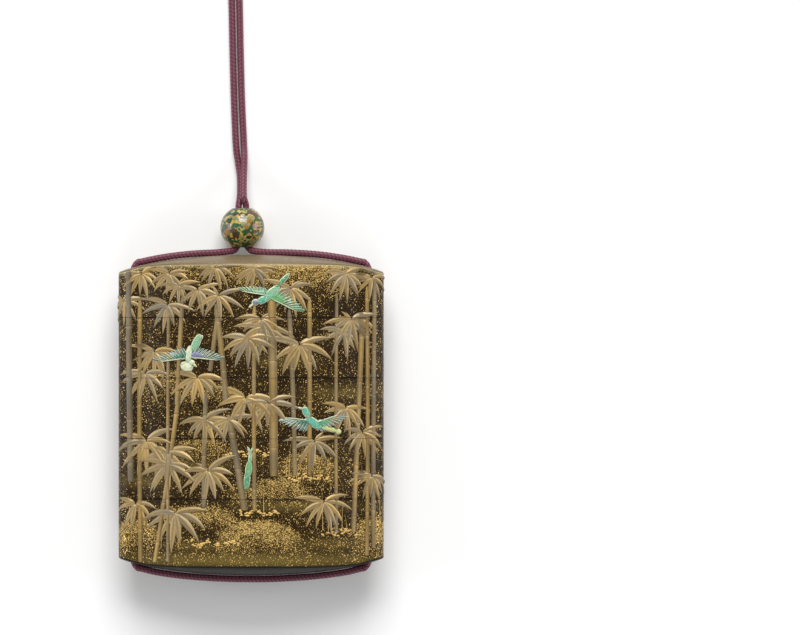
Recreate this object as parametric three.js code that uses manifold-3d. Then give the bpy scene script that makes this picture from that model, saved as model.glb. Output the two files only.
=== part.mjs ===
// An inro: a small case of lacquered wood in five tiers, with inlays of birds and bamboo shoots, a cord and a bead.
// It lies on its back. Millimetres, +Z up out of the picture side, +Y towards the lid.
import * as THREE from "three";
import { mergeVertices } from "three/addons/utils/BufferGeometryUtils.js";
import Module from "manifold-3d";

const wasm = await Module();
wasm.setup();

// The case's outside
const CASE_HEIGHT = 87.1; // crown to crown, along Y
const HALF_WIDTH = 36;
const HALF_DEPTH = 12; // of the lens before its resting spot is flattened
const FACE_RADIUS = (HALF_WIDTH ** 2 + HALF_DEPTH ** 2) / (2 * HALF_DEPTH);
const RIB_RADIUS = 4.1; // the rounded edges that hold the cord channels
const CHANNEL_X = HALF_WIDTH - RIB_RADIUS;
const VALLEY_RADIUS = 3; // the soft hollow between a face and its rib
const FLAT_HALF = 5; // half the width of the resting spot
const MID = HALF_DEPTH - (FACE_RADIUS - Math.sqrt(FACE_RADIUS ** 2 - FLAT_HALF ** 2));
const DOME = { x: 39.5, y: 8.1, z: 16.7 }; // semi-axes of the bowed top and bottom
const DOME_Y = CASE_HEIGHT / 2 - DOME.y;

// The tiers
const TIERS = 4;
const TIER_PITCH = 16.4;
const LID_SEAM = 26.5; // the seam below the lid; the others follow at the pitch
const SEAM_GAP = 0.3;
const SKIRT = 1.1; // wall around the recess that takes the riser below
const FIT = 0.3; // all round a riser
const RISER = 0.9; // thickness of the inner lip
const RISER_HEIGHT = 4;
const RECESS_HEIGHT = 4.3;
const FLOOR = 1.2;
const BOTTOM_INSIDE = -39.4; // the bottom tier's inner floor
const LID_WALL = 2;
const END_BLOCK_X = 29; // the cavities end here, less the wall that they keep

// The cord and its channels
const CORD_RADIUS = 0.9;
const CORD_SIDES = 8;
const CORD_Z = 0.95; // its centre where it lies on the ground
const CHANNEL_RADIUS = 1.4;
const MOUTH_START_Y = 38.2;
const MOUTH_END_Y = 42.2;
const MOUTH_RADIUS = 2.33; // at MOUTH_END_Y
const CORD_BREAK_Y = 38.5; // inside the channels, where one cord solid follows another
const CORD_GAP = 0.3;

// The bead and the knot
const BEAD = { x: -2.5, y: 50.9, radius: 6, bore: 2.3, mouth: 2.8, mouthDepth: 1.2 };
const KNOT = { x: -5.2, y: 146, halfX: 3.6, halfY: 4.8, halfZ: 2.5 };

// The inlays
const INLAY_PROUD = 0.35;
const INLAY_DEPTH = 0.3;
const POCKET_DEPTH = 0.6;
const POCKET_GAP = 0.3;

const lacquer = material(0x3a2b1e, 0.35, 0.1);
const braid = material(0x6e2841, 0.8, 0);
const glaze = material(0x5d6b38, 0.15, 0);
const shell = material(0x6f9a86, 0.3, 0);
const ivory = material(0xd9cba6, 0.45, 0);

// Each inlay: its tier, its side (1 is the picture side), and its outline as patches, placed as they
// are seen on their own face. An oval is its middle x and y, half length, half width and turn in
// degrees. A wing is its root x and y, its tip x and y, its breadth, and 1 where its feathers lie
// to the left of the line from root to tip, or -1 to the right.
const INLAYS = [
  {
    name: "bird_front_lid", tier: 0, side: 1, finish: shell,
    ovals: [
      [5.6, 32.9, 3.1, 1.35, 41], [3.2, 31.2, 1.5, 1.05, 32], [1.35, 30.6, 1.05, 0.95, 20],
      [0.3, 29.8, 1.1, 0.34, 40], [8.6, 36.4, 2.9, 0.72, 46],
    ],
    wings: [[4.1, 32.6, -2.9, 33.7, 2.1, -1], [5.4, 31.8, 13, 28, 3.2, 1]],
  },
  {
    name: "bird_front_upper", tier: 1, side: 1, finish: ivory,
    ovals: [
      [-16.7, 16.6, 2.4, 1, 80], [-17.4, 13.2, 1.9, 1.35, 160], [-16, 14.3, 0.95, 0.85, 0],
      [-15.2, 13.65, 0.9, 0.34, -38], [-14.7, 19.6, 2.7, 1.15, 64],
    ],
    wings: [[-17.2, 15.6, -25.6, 14.4, 2.5, -1], [-16.2, 15.8, -8.1, 14.9, 2.6, 1]],
  },
  {
    name: "bird_front_middle", tier: 2, side: 1, finish: shell,
    ovals: [
      [15.1, 0.9, 1.7, 1.05, -60], [13.7, 1.9, 1.1, 0.34, -18], [17.1, -2, 2.7, 1.2, -38],
      [21.6, -3.8, 2.6, 0.7, -14], [23.6, -4.4, 0.95, 0.85, 0],
    ],
    wings: [[16, -1.4, 8.8, -0.5, 3, 1], [17.8, -1.9, 25, 0.5, 2.6, -1]],
  },
  {
    name: "shoot_front", tier: 3, side: 1, finish: shell, wings: [],
    ovals: [
      [-0.95, -17.4, 2.9, 0.95, 86], [-0.5, -14.6, 2.7, 1, 84], [-0.05, -11.3, 2.2, 0.62, 84],
      [-0.35, -9.4, 1.1, 0.34, 112], [0.4, -9.2, 1.1, 0.34, 62],
    ],
  },
  {
    name: "bird_back_lid", tier: 0, side: -1, finish: ivory,
    ovals: [
      [11.2, 31, 2.8, 1.45, 20], [8.4, 30.4, 1.15, 1.05, 0], [7, 29.9, 0.8, 0.28, 25],
      [14.9, 32.6, 1.9, 0.8, 12],
    ],
    wings: [[10.2, 31.6, 4.4, 33, 1.9, -1], [10.9, 31.9, 13.9, 36.2, 2.6, -1]],
  },
  {
    name: "bird_back_upper", tier: 1, side: -1, finish: shell,
    ovals: [
      [-15.3, 16.5, 3.1, 1.4, -35], [-18.5, 19.3, 2.2, 0.95, -32], [-20.2, 20.3, 0.9, 0.75, 0],
      [-12.4, 14.5, 1.15, 1, 0], [-11.2, 14.05, 1.1, 0.34, -18],
    ],
    wings: [[-15.6, 16, -21.9, 14.2, 2.5, -1], [-14.2, 16, -7.2, 14.9, 2.3, 1]],
  },
  {
    name: "bird_back_middle", tier: 2, side: -1, finish: shell,
    ovals: [
      [15.9, 4.2, 1.2, 1.05, -20], [14.4, 4.15, 1, 0.34, 5], [17.2, 2.9, 1.5, 1, -42],
      [19.3, 1, 3.1, 1.3, -33], [23.6, 0.2, 2.3, 0.78, -6], [20.4, 4.3, 2, 1.2, 75],
      [16.2, -0.4, 1.7, 1, -70],
    ],
    wings: [[19.2, 2, 26.6, 5.4, 2.8, -1], [16.6, 0.9, 18.3, -3.8, 2.6, 1]],
  },
  {
    name: "shoot_back_left", tier: 3, side: -1, finish: shell, wings: [],
    ovals: [
      [-15.55, -18.6, 2.3, 1, 84], [-15.2, -16.2, 2.3, 0.9, 80], [-14.5, -13.9, 1.6, 0.5, 74],
      [-14.5, -12.7, 0.8, 0.3, 110], [-13.9, -12.8, 0.8, 0.3, 45],
    ],
  },
  {
    name: "shoot_back_right", tier: 3, side: -1, finish: shell, wings: [],
    ovals: [
      [2.35, -18.5, 2.9, 1.35, 90], [2.5, -15.2, 3.2, 1.6, 90], [2.7, -11.5, 2.4, 0.95, 88],
      [2.4, -9.2, 1.1, 0.4, 112], [3.1, -9.1, 1.1, 0.4, 66],
    ],
  },
  {
    name: "bird_back_bottom", tier: 4, side: -1, finish: shell, wings: [],
    ovals: [
      [8, -24.9, 1.15, 1.05, 0], [6.7, -24.8, 1.1, 0.36, -5], [8.2, -26.5, 1.6, 1.2, 95],
      [9.8, -29.6, 3.3, 2, -35], [11.6, -29.4, 4, 2, -25], [17.2, -31.1, 3.6, 0.8, -5],
    ],
  },
];

function material(color, roughness, metalness) {
  return new THREE.MeshStandardMaterial({ color, roughness, metalness });
}

// Solids: three.js shapes go in, manifold-3d joins and cuts them, and three.js meshes come out.

function solid(geometry) {
  const bare = geometry.clone();
  bare.deleteAttribute("normal");
  bare.deleteAttribute("uv");
  const merged = mergeVertices(bare, 1e-5);
  return new wasm.Manifold(
    new wasm.Mesh({
      numProp: 3,
      vertProperties: new Float32Array(merged.attributes.position.array),
      triVerts: new Uint32Array(merged.index.array),
    }),
  );
}

function mesh(name, body, finish) {
  const data = body.getMesh();
  const geometry = new THREE.BufferGeometry();
  geometry.setAttribute("position", new THREE.BufferAttribute(new Float32Array(data.vertProperties), 3));
  geometry.setIndex(new THREE.BufferAttribute(new Uint32Array(data.triVerts), 1));
  geometry.computeVertexNormals();
  const out = new THREE.Mesh(geometry, finish);
  out.name = name;
  return out;
}

function joined(bodies) {
  return bodies.reduce((whole, body) => whole.add(body));
}

// A section drawn in X and Z about the middle plane, drawn out along Y.
function prism(points, lowY, highY) {
  const shape = new THREE.Shape(points);
  const geometry = new THREE.ExtrudeGeometry(shape, { depth: highY - lowY, bevelEnabled: false });
  return solid(geometry.rotateX(Math.PI / 2).translate(0, highY, MID));
}

// An outline drawn in X and Y, drawn up along Z.
function column(points, lowZ, highZ) {
  const shape = new THREE.Shape(points);
  const geometry = new THREE.ExtrudeGeometry(shape, { depth: highZ - lowZ, bevelEnabled: false });
  return solid(geometry.translate(0, 0, lowZ));
}

function arc(x, y, radius, from, to, steps) {
  return Array.from({ length: steps + 1 }, (_, i) => {
    const angle = from + ((to - from) * i) / steps;
    return new THREE.Vector2(x + radius * Math.cos(angle), y + radius * Math.sin(angle));
  });
}

// The case's section: a lens of two arcs, a rib at each end, and a soft hollow between them.
function caseSection() {
  const drop = FACE_RADIUS - HALF_DEPTH;
  const toFace = FACE_RADIUS + VALLEY_RADIUS;
  const toRib = RIB_RADIUS + VALLEY_RADIUS;
  const reach = Math.hypot(CHANNEL_X, drop);
  const along = Math.acos((toFace ** 2 + reach ** 2 - toRib ** 2) / (2 * toFace * reach));
  const faceAngle = Math.atan2(drop, CHANNEL_X) + along;
  const valley = {
    x: toFace * Math.cos(faceAngle),
    y: -drop + toFace * Math.sin(faceAngle),
  };
  const ribAngle = Math.atan2(valley.y, valley.x - CHANNEL_X);
  const quarter = [
    ...arc(CHANNEL_X, 0, RIB_RADIUS, 0, ribAngle, 5),
    ...arc(valley.x, valley.y, VALLEY_RADIUS, ribAngle - Math.PI, faceAngle - Math.PI, 2).slice(1),
    ...arc(0, -drop, FACE_RADIUS, faceAngle, Math.PI / 2, 7).slice(1),
  ];
  const upperLeft = quarter.slice(0, -1).reverse().map((p) => new THREE.Vector2(-p.x, p.y));
  const upper = [...quarter, ...upperLeft];
  const lower = upper.slice(1, -1).reverse().map((p) => new THREE.Vector2(p.x, -p.y));
  return [...upper, ...lower];
}

// The same lens set in by a wall, and cut off square short of the channels.
function cavitySection(wall) {
  const drop = FACE_RADIUS - HALF_DEPTH;
  const radius = FACE_RADIUS - wall;
  const half = Math.acos((END_BLOCK_X - wall) / radius);
  const upper = arc(0, -drop, radius, half, Math.PI - half, 10);
  return [...upper, ...upper.map((p) => new THREE.Vector2(-p.x, -p.y))];
}

// An upright oval column with a domed end at each side, which rounds the case's top and bottom.
function domedColumn(inset) {
  const angles = [90, 76, 62, 50, 39, 29, 19, 9, 0].map(THREE.MathUtils.degToRad);
  const half = angles.map((a) => new THREE.Vector2(Math.cos(a), Math.sin(a)));
  const place = (p, sign) => new THREE.Vector2(p.x, sign * (DOME_Y + (DOME.y - inset) * p.y));
  const profile = [...half.map((p) => place(p, -1)), ...half.reverse().map((p) => place(p, 1))];
  profile[0].x = 0;
  profile[profile.length - 1].x = 0;
  const geometry = new THREE.LatheGeometry(profile, 28);
  return solid(geometry.scale(DOME.x - inset, 1, DOME.z - inset).translate(0, 0, MID));
}

function ground() {
  return solid(new THREE.BoxGeometry(120, 120, 40).translate(0, 0, -20));
}

// The two straight bores for the cord, opening out towards their mouths.
function channels() {
  const profile = [
    [0, -MOUTH_END_Y],
    [MOUTH_RADIUS, -MOUTH_END_Y],
    [CHANNEL_RADIUS, -MOUTH_START_Y],
    [CHANNEL_RADIUS, MOUTH_START_Y],
    [MOUTH_RADIUS, MOUTH_END_Y],
    [0, MOUTH_END_Y],
  ].map(([x, y]) => new THREE.Vector2(x, y));
  const bore = (x) => solid(new THREE.LatheGeometry(profile, 12).translate(x, 0, MID));
  return bore(-CHANNEL_X).add(bore(CHANNEL_X));
}

// Seam number 0 is below the lid.
function seamY(number) {
  return LID_SEAM - number * TIER_PITCH;
}

function topOf(tier) {
  return tier === 0 ? CASE_HEIGHT : seamY(tier - 1) - SEAM_GAP / 2;
}

function bottomOf(tier) {
  return tier === TIERS ? -CASE_HEIGHT : seamY(tier) + SEAM_GAP / 2;
}

function outside(tier) {
  return prism(caseSection(), Math.max(bottomOf(tier), -CASE_HEIGHT / 2), Math.min(topOf(tier), CASE_HEIGHT / 2))
    .intersect(domedColumn(0))
    .subtract(ground());
}

function recess(tier) {
  const low = bottomOf(tier);
  return prism(cavitySection(SKIRT), low - 1, low + RECESS_HEIGHT);
}

function riser(tier) {
  const top = topOf(tier);
  return prism(cavitySection(SKIRT + FIT), top - 1, top + RISER_HEIGHT);
}

function inside(tier) {
  const wall = SKIRT + FIT + RISER;
  const low = tier === TIERS ? BOTTOM_INSIDE : bottomOf(tier) + RECESS_HEIGHT + FLOOR;
  return prism(cavitySection(wall), low, topOf(tier) + RISER_HEIGHT + 1);
}

function lidBody() {
  const hollow = prism(cavitySection(LID_WALL), bottomOf(0), CASE_HEIGHT / 2);
  return outside(0).subtract(recess(0)).subtract(hollow.intersect(domedColumn(LID_WALL)));
}

function tierBody(tier) {
  const body = outside(tier).add(riser(tier)).subtract(inside(tier));
  return tier === TIERS ? body : body.subtract(recess(tier));
}

// The inlays: every oval of an outline can be grown to make the pocket.

function oval(side, [x, y, halfLength, halfWidth, turn], grow) {
  const tilt = THREE.MathUtils.degToRad(turn);
  const points = Array.from({ length: 10 }, (_, i) => {
    const angle = (i / 10) * 2 * Math.PI;
    const along = (halfLength + grow) * Math.cos(angle);
    const across = (halfWidth + grow) * Math.sin(angle);
    return new THREE.Vector2(along, across).rotateAround(new THREE.Vector2(), tilt);
  }).map((p) => new THREE.Vector2(side * (x + p.x), y + p.y));
  return side > 0 ? points : points.reverse();
}

// A wing is a long oval from root to tip and a broad one over its shoulder.
function wingOvals([rootX, rootY, tipX, tipY, breadth, back]) {
  const root = new THREE.Vector2(rootX, rootY);
  const arm = new THREE.Vector2(tipX, tipY).sub(root);
  const turn = THREE.MathUtils.radToDeg(arm.angle());
  const across = new THREE.Vector2(-arm.y, arm.x).normalize().multiplyScalar(back * breadth);
  const place = (share, shift, halfLength, halfWidth) => {
    const middle = root.clone().addScaledVector(arm, share).addScaledVector(across, shift);
    return [middle.x, middle.y, halfLength * arm.length(), halfWidth * breadth, turn];
  };
  return [place(0.43, 0.16, 0.57, 0.28), place(0.26, 0.34, 0.36, 0.4)];
}

function figureColumn(figure, grow) {
  const ovals = [...figure.ovals, ...figure.wings.flatMap(wingOvals)];
  return joined(ovals.map((shape) => column(oval(figure.side, shape, grow), -20, 60)));
}

// A layer that follows one broad face, from a depth under its surface to a height over it.
function faceLayer(side, depth, height) {
  const drop = FACE_RADIUS - HALF_DEPTH;
  const band = (radius) => {
    const half = Math.acos((END_BLOCK_X - 1) / radius);
    return arc(0, -drop, radius, half, Math.PI - half, 20);
  };
  const points = [...band(FACE_RADIUS + height), ...band(FACE_RADIUS - depth).reverse()];
  const placed = side > 0 ? points : points.map((p) => new THREE.Vector2(p.x, -p.y)).reverse();
  return prism(placed, -CASE_HEIGHT / 2, CASE_HEIGHT / 2);
}

function inlay(figure) {
  return figureColumn(figure, 0)
    .intersect(faceLayer(figure.side, INLAY_DEPTH, INLAY_PROUD))
    .subtract(ground());
}

function pocket(figure) {
  return figureColumn(figure, POCKET_GAP).intersect(faceLayer(figure.side, POCKET_DEPTH, 2));
}

// A cord solid steps from one chosen point to the next.
class Route extends THREE.CatmullRomCurve3 {
  getSpacedPoints(divisions) {
    return this.getPoints(divisions);
  }

  getPointAt(t, target) {
    return this.getPoint(t, target);
  }

  getTangentAt(t, target) {
    return this.getTangent(t, target);
  }
}

function tube(points) {
  const route = new Route(points.map(([x, y, z]) => new THREE.Vector3(x, y, z)));
  const shape = new THREE.Shape(arc(0, 0, CORD_RADIUS, 0, 2 * Math.PI, CORD_SIDES).slice(1));
  const settings = { steps: points.length - 1, extrudePath: route, bevelEnabled: false };
  return solid(new THREE.ExtrudeGeometry(shape, settings));
}

// Out of a channel and down onto the dome; side is -1 on the left, end is -1 at the bottom.
function mouthBend(side, end) {
  const radius = 3;
  const centre = [CHANNEL_X - radius, 39.03];
  return [0, 19, 38, 57, 76].map(THREE.MathUtils.degToRad).map((angle) => [
    side * (centre[0] + radius * Math.cos(angle)),
    end * (centre[1] + radius * Math.sin(angle)),
    MID,
  ]);
}

const LEFT_ROUTE = [
  [-CHANNEL_X, CORD_BREAK_Y, MID],
  ...mouthBend(-1, 1),
  [-25.6, 42.8, 11.8],
  [-20, 43.65, 11.7],
  [-14.7, 44.15, 11.3],
  [-9.5, 44.4, 10.2],
  [-6.6, 44.45, 8.4],
  [-4.9, 44.8, 7.1],
  [-4, 45.7, 6.4],
  [-3.6, 47, 6.05],
  [-3.55, 49, 6],
  [-3.55, 53, 6],
  [-3.5, 56.8, 5.9],
  [-3.2, 59.2, 5],
  [-3.1, 62, 3.2],
  [-3.3, 66, 1.35],
  [-3.9, 70, CORD_Z],
  [-4.35, 74, CORD_Z],
  [-4.85, 86, CORD_Z],
  [-5.2, 99, CORD_Z],
  [-5.5, 113, CORD_Z],
  [-6, 127, CORD_Z],
  [-6.25, 141.2, CORD_Z],
];

const RIGHT_ROUTE = [
  [CHANNEL_X, CORD_BREAK_Y, MID],
  ...mouthBend(1, 1),
  [25.6, 42.8, 11.8],
  [20, 43.65, 11.7],
  [14.7, 44.15, 11.4],
  [9.5, 44.4, 10.8],
  [4.5, 44.45, 9.8],
  [1.6, 44.45, 8.4],
  [-0.1, 44.8, 7.1],
  [-1, 45.7, 6.4],
  [-1.4, 47, 6.05],
  [-1.45, 49, 6],
  [-1.45, 53, 6],
  [-1.5, 56.8, 6.15],
  [-2.1, 59.2, 6.85],
  [-2.2, 62, 5.2],
  [-2.15, 66, 3.25],
  [-2.05, 70, 2.1],
  [-2.2, 74, CORD_Z],
  [-2.75, 86, CORD_Z],
  [-3.1, 99, CORD_Z],
  [-3.4, 113, CORD_Z],
  [-3.9, 127, CORD_Z],
  [-4.15, 141.2, CORD_Z],
];

const CHANNEL_STEPS = [CORD_BREAK_Y - CORD_GAP, 26, 10, -6, -22, -34];
const UNDER_LEFT = [
  ...CHANNEL_STEPS.map((y) => [-CHANNEL_X, y, MID]),
  ...mouthBend(-1, -1),
  [-25.8, -42.85, MID],
  [-20.1, -43.68, MID],
  [-14.8, -44.2, MID],
  [-7.1, -44.65, MID],
];
const UNDER_ROUTE = [
  ...UNDER_LEFT,
  [0, -44.77, MID],
  ...[...UNDER_LEFT].reverse().map(([x, y, z]) => [-x, y, z]),
];

function beadBody() {
  const rim = Math.sqrt(BEAD.radius ** 2 - BEAD.mouth ** 2);
  const start = Math.atan2(rim, BEAD.mouth);
  const outer = arc(0, 0, BEAD.radius, -start, start, 10);
  const inner = [
    new THREE.Vector2(BEAD.bore, rim - BEAD.mouthDepth),
    new THREE.Vector2(BEAD.bore, BEAD.mouthDepth - rim),
  ];
  const profile = [...outer, ...inner, outer[0].clone()];
  return solid(new THREE.LatheGeometry(profile, 20).translate(BEAD.x, BEAD.y, BEAD.radius));
}

function knotBody() {
  const geometry = new THREE.SphereGeometry(1, 14, 9);
  return solid(geometry.scale(KNOT.halfX, KNOT.halfY, KNOT.halfZ).translate(KNOT.x, KNOT.y, KNOT.halfZ));
}

function caseNodes() {
  return Array.from({ length: TIERS + 1 }, (_, tier) => {
    const pockets = INLAYS.filter((figure) => figure.tier === tier).map(pocket);
    const body = (tier === 0 ? lidBody() : tierBody(tier)).subtract(channels());
    return mesh(tier === 0 ? "lid" : `tier_${tier}`, body.subtract(joined(pockets)), lacquer);
  });
}

const inro = new THREE.Group();
inro.add(
  ...caseNodes(),
  ...INLAYS.map((figure) => mesh(figure.name, inlay(figure), figure.finish)),
  mesh("cord_under", tube(UNDER_ROUTE), braid),
  mesh("cord_left", tube(LEFT_ROUTE), braid),
  mesh("cord_right", tube(RIGHT_ROUTE), braid),
  mesh("ojime_bead", beadBody(), glaze),
  mesh("cord_knot", knotBody(), braid),
);

export default inro;
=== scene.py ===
"""The looks of an inro: a lacquered case of five tiers with a bamboo grove in gold relief, shell inlays,
a braided cord and a mosaic bead. The case lies on its back, +Y towards the lid and +Z out of the picture."""

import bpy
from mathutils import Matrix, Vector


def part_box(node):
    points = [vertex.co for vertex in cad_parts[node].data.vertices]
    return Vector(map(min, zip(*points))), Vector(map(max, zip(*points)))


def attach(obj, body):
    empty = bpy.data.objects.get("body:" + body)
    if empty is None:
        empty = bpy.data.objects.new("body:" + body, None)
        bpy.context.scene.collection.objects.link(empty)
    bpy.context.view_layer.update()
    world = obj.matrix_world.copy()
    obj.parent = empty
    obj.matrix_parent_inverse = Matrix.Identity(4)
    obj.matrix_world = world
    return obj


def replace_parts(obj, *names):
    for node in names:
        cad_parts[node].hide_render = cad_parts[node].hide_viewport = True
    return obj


bl_info = {
    "name": "Inro Case",
    "version": (1, 0, 0),
    "blender": (4, 5, 0),
    "location": "View3D > Sidebar > Inro",
    "description": "Builds a lacquered inro case with a bamboo grove, inlays, a braided cord and a bead",
    "category": "Add Mesh",
}

import math
import random

import bmesh
import bpy
from mathutils import Vector, noise

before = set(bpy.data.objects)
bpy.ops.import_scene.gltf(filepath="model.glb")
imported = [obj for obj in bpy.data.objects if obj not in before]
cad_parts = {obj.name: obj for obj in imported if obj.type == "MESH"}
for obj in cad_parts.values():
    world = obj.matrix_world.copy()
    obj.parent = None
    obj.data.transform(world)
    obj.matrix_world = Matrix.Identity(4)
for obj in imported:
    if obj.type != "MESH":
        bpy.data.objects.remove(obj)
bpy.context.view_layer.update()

MM = 0.001

# The case, in millimetres, worked out from the frame
CASE_NODES = ("lid", "tier_1", "tier_2", "tier_3", "tier_4")
CASE_BOXES = [tuple(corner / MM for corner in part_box(name)) for name in CASE_NODES]
HALF_WIDTH = CASE_BOXES[0][1].x
TOP_Z = CASE_BOXES[1][1].z
CROWN_Y = CASE_BOXES[0][1].y
SEAM_GAP = 0.3
SEAM_LAP = 0.151  # how far each wall reaches into the seam, so that the tiers close tightly
HALF_DEPTH = 12.0
MID = TOP_Z - HALF_DEPTH
FACE_RADIUS = (HALF_WIDTH**2 + HALF_DEPTH**2) / (2 * HALF_DEPTH)
FACE_DROP = FACE_RADIUS - HALF_DEPTH
RIB_RADIUS = 4.1
CHANNEL_X = HALF_WIDTH - RIB_RADIUS
VALLEY_RADIUS = 3.0
DOME_X, DOME_RISE, DOME_Z = 39.5, 8.1, 16.7
DOME_Y = CROWN_Y - DOME_RISE
RIM_ROUND = 0.45
EDGE_ROUND = 0.13
END_BLOCK_X = 29.0
SKIRT, FIT, RISER, RISER_HEIGHT = 1.1, 0.3, 0.9, 4.0
RECESS_HEIGHT, FLOOR, LID_WALL, BOTTOM_INSIDE = 4.3, 1.2, 2.0, -39.4
CHANNEL_RADIUS, MOUTH_START_Y, MOUTH_END_Y, MOUTH_RADIUS = 1.4, 38.2, 42.2, 2.33

# The cord's route, the solids' own points in millimetres; settled() lays it on the domed ends
CORD_RADIUS = 0.9
CORD_Z = 0.95
CORD_BREAK_Y = 38.5
CORD_GAP = 0.3
BACK_REST = 0.12  # how far the back's flat strip lies above the floor, so that its relief isn't crushed


def mouth_bend(side, end):
    """Points out of a channel and down onto the dome."""
    radius, centre_y = 3, 39.03
    turns = [math.radians(a) for a in (0, 19, 38, 57, 76)]
    return [
        (side * (CHANNEL_X - radius + radius * math.cos(a)), end * (centre_y + radius * math.sin(a)), MID)
        for a in turns
    ]


LEFT_ROUTE = [
    (-CHANNEL_X, CORD_BREAK_Y, MID),
    *mouth_bend(-1, 1),
    (-25.6, 42.8, 11.8),
    (-20, 43.65, 11.7),
    (-14.7, 44.15, 11.3),
    (-9.5, 44.4, 10.2),
    (-6.6, 44.45, 8.4),
    (-4.9, 44.8, 7.1),
    (-4, 45.7, 6.4),
    (-3.6, 47, 6.05),
    (-3.55, 49, 6),
    (-3.55, 53, 6),
    (-3.5, 56.8, 5.9),
    (-3.2, 59.2, 5),
    (-3.1, 62, 3.2),
    (-3.3, 66, 1.35),
    (-3.9, 70, CORD_Z),
    (-4.35, 74, CORD_Z),
    (-4.85, 86, CORD_Z),
    (-5.2, 99, CORD_Z),
    (-5.5, 113, CORD_Z),
    (-6, 127, CORD_Z),
    (-6.25, 141.2, CORD_Z),
]
RIGHT_ROUTE = [
    (CHANNEL_X, CORD_BREAK_Y, MID),
    *mouth_bend(1, 1),
    (25.6, 42.8, 11.8),
    (20, 43.65, 11.7),
    (14.7, 44.15, 11.4),
    (9.5, 44.4, 10.8),
    (4.5, 44.45, 9.8),
    (1.6, 44.45, 8.4),
    (-0.1, 44.8, 7.1),
    (-1, 45.7, 6.4),
    (-1.4, 47, 6.05),
    (-1.45, 49, 6),
    (-1.45, 53, 6),
    (-1.5, 56.8, 6.15),
    (-2.1, 59.2, 6.85),
    (-2.2, 62, 5.2),
    (-2.15, 66, 3.25),
    (-2.05, 70, 2.1),
    (-2.2, 74, CORD_Z),
    (-2.75, 86, CORD_Z),
    (-3.1, 99, CORD_Z),
    (-3.4, 113, CORD_Z),
    (-3.9, 127, CORD_Z),
    (-4.15, 141.2, CORD_Z),
]
UNDER_LEFT = [
    *[(-CHANNEL_X, y, MID) for y in (CORD_BREAK_Y - CORD_GAP, 26, 10, -6, -22, -34)],
    *mouth_bend(-1, -1),
    (-25.8, -42.85, MID),
    (-20.1, -43.68, MID),
    (-14.8, -44.2, MID),
    (-7.1, -44.65, MID),
]
UNDER_ROUTE = [*UNDER_LEFT, (0, -44.77, MID), *[(-x, y, z) for x, y, z in reversed(UNDER_LEFT)]]


# ---------------------------------------------------------------------------- settings


def colour_property(name, description, default):
    return bpy.props.FloatVectorProperty(
        name=name, description=description, default=default, subtype="COLOR", size=3, min=0, max=1
    )


class InroCaseSettings(bpy.types.PropertyGroup):
    """Sizes and colours of the case and its picture."""

    ground: colour_property("Ground", "The dark lacquer under the gold dust", (0.011, 0.006, 0.003))
    dust: colour_property("Gold dust", "The flakes sprinkled in the ground", (0.7, 0.47, 0.15))
    haze: colour_property("Haze", "The soft gold mist between the culms", (0.21, 0.15, 0.04))
    gold: colour_property("Gold relief", "The warm side of the leaves and culms", (0.68, 0.44, 0.13))
    silver: colour_property("Silver relief", "The cool side of the leaves and culms", (0.36, 0.3, 0.2))
    underside: colour_property("Underside", "The plain lacquer of the bottom dome", (0.022, 0.02, 0.016))


class InroCordSettings(bpy.types.PropertyGroup):
    """Size and colours of the cord."""

    diameter: bpy.props.FloatProperty(
        name="Diameter",
        description="Diameter of the braided cord",
        default=2 * CORD_RADIUS * MM,
        unit="LENGTH",
        min=0.0005,
        precision=4,
    )
    # silk is the strands' own colour; shade is painted shade for the gaps between the strands
    silk: colour_property("Silk", "Colour of the braid's raised strands", (0.105, 0.016, 0.036))
    shade: colour_property("Shade", "Colour between the strands", (0.022, 0.002, 0.007))


class InroStageSettings(bpy.types.PropertyGroup):
    """The floor and the camera."""

    floor: colour_property("Floor", "Colour of the plain floor", (0.9, 0.9, 0.9))
    focal_length: bpy.props.FloatProperty(
        name="Focal length", description="Focal length of the camera, in millimetres", default=412.4, min=1
    )


# ---------------------------------------------------------------------------- the case's form


def arc_angle():
    """Angles at which the face passes to the valley, and the valley to the rib."""
    to_face = FACE_RADIUS + VALLEY_RADIUS
    to_rib = RIB_RADIUS + VALLEY_RADIUS
    reach = math.hypot(CHANNEL_X, FACE_DROP)
    along = math.acos((to_face**2 + reach**2 - to_rib**2) / (2 * to_face * reach))
    face = math.atan2(FACE_DROP, CHANNEL_X) + along
    centre = Vector((to_face * math.cos(face), to_face * math.sin(face) - FACE_DROP))
    return face, math.atan2(centre.y, centre.x - CHANNEL_X), centre


FACE_ANGLE, RIB_ANGLE, VALLEY_CENTRE = arc_angle()
FACE_LENGTH = FACE_RADIUS * (math.pi / 2 - FACE_ANGLE)
VALLEY_LENGTH = VALLEY_RADIUS * (RIB_ANGLE - FACE_ANGLE)
RIB_LENGTH = RIB_RADIUS * RIB_ANGLE
HALF_ROUND = FACE_LENGTH + VALLEY_LENGTH + RIB_LENGTH


def section_at(s):
    """The point and outward normal at a distance s round from the middle of a face, about the case's axis."""
    side = -1 if s < 0 else 1
    s = min(abs(s), HALF_ROUND)
    if s <= FACE_LENGTH:
        angle = math.pi / 2 - s / FACE_RADIUS
        point = Vector((FACE_RADIUS * math.cos(angle), FACE_RADIUS * math.sin(angle) - FACE_DROP))
    elif s <= FACE_LENGTH + VALLEY_LENGTH:
        angle = FACE_ANGLE + (s - FACE_LENGTH) / VALLEY_RADIUS
        point = VALLEY_CENTRE - VALLEY_RADIUS * Vector((math.cos(angle), math.sin(angle)))
    else:
        angle = RIB_ANGLE - (s - FACE_LENGTH - VALLEY_LENGTH) / RIB_RADIUS
        point = Vector((CHANNEL_X + RIB_RADIUS * math.cos(angle), RIB_RADIUS * math.sin(angle)))
    return Vector((side * point.x, point.y)), Vector((side * math.cos(angle), math.sin(angle)))


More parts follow.
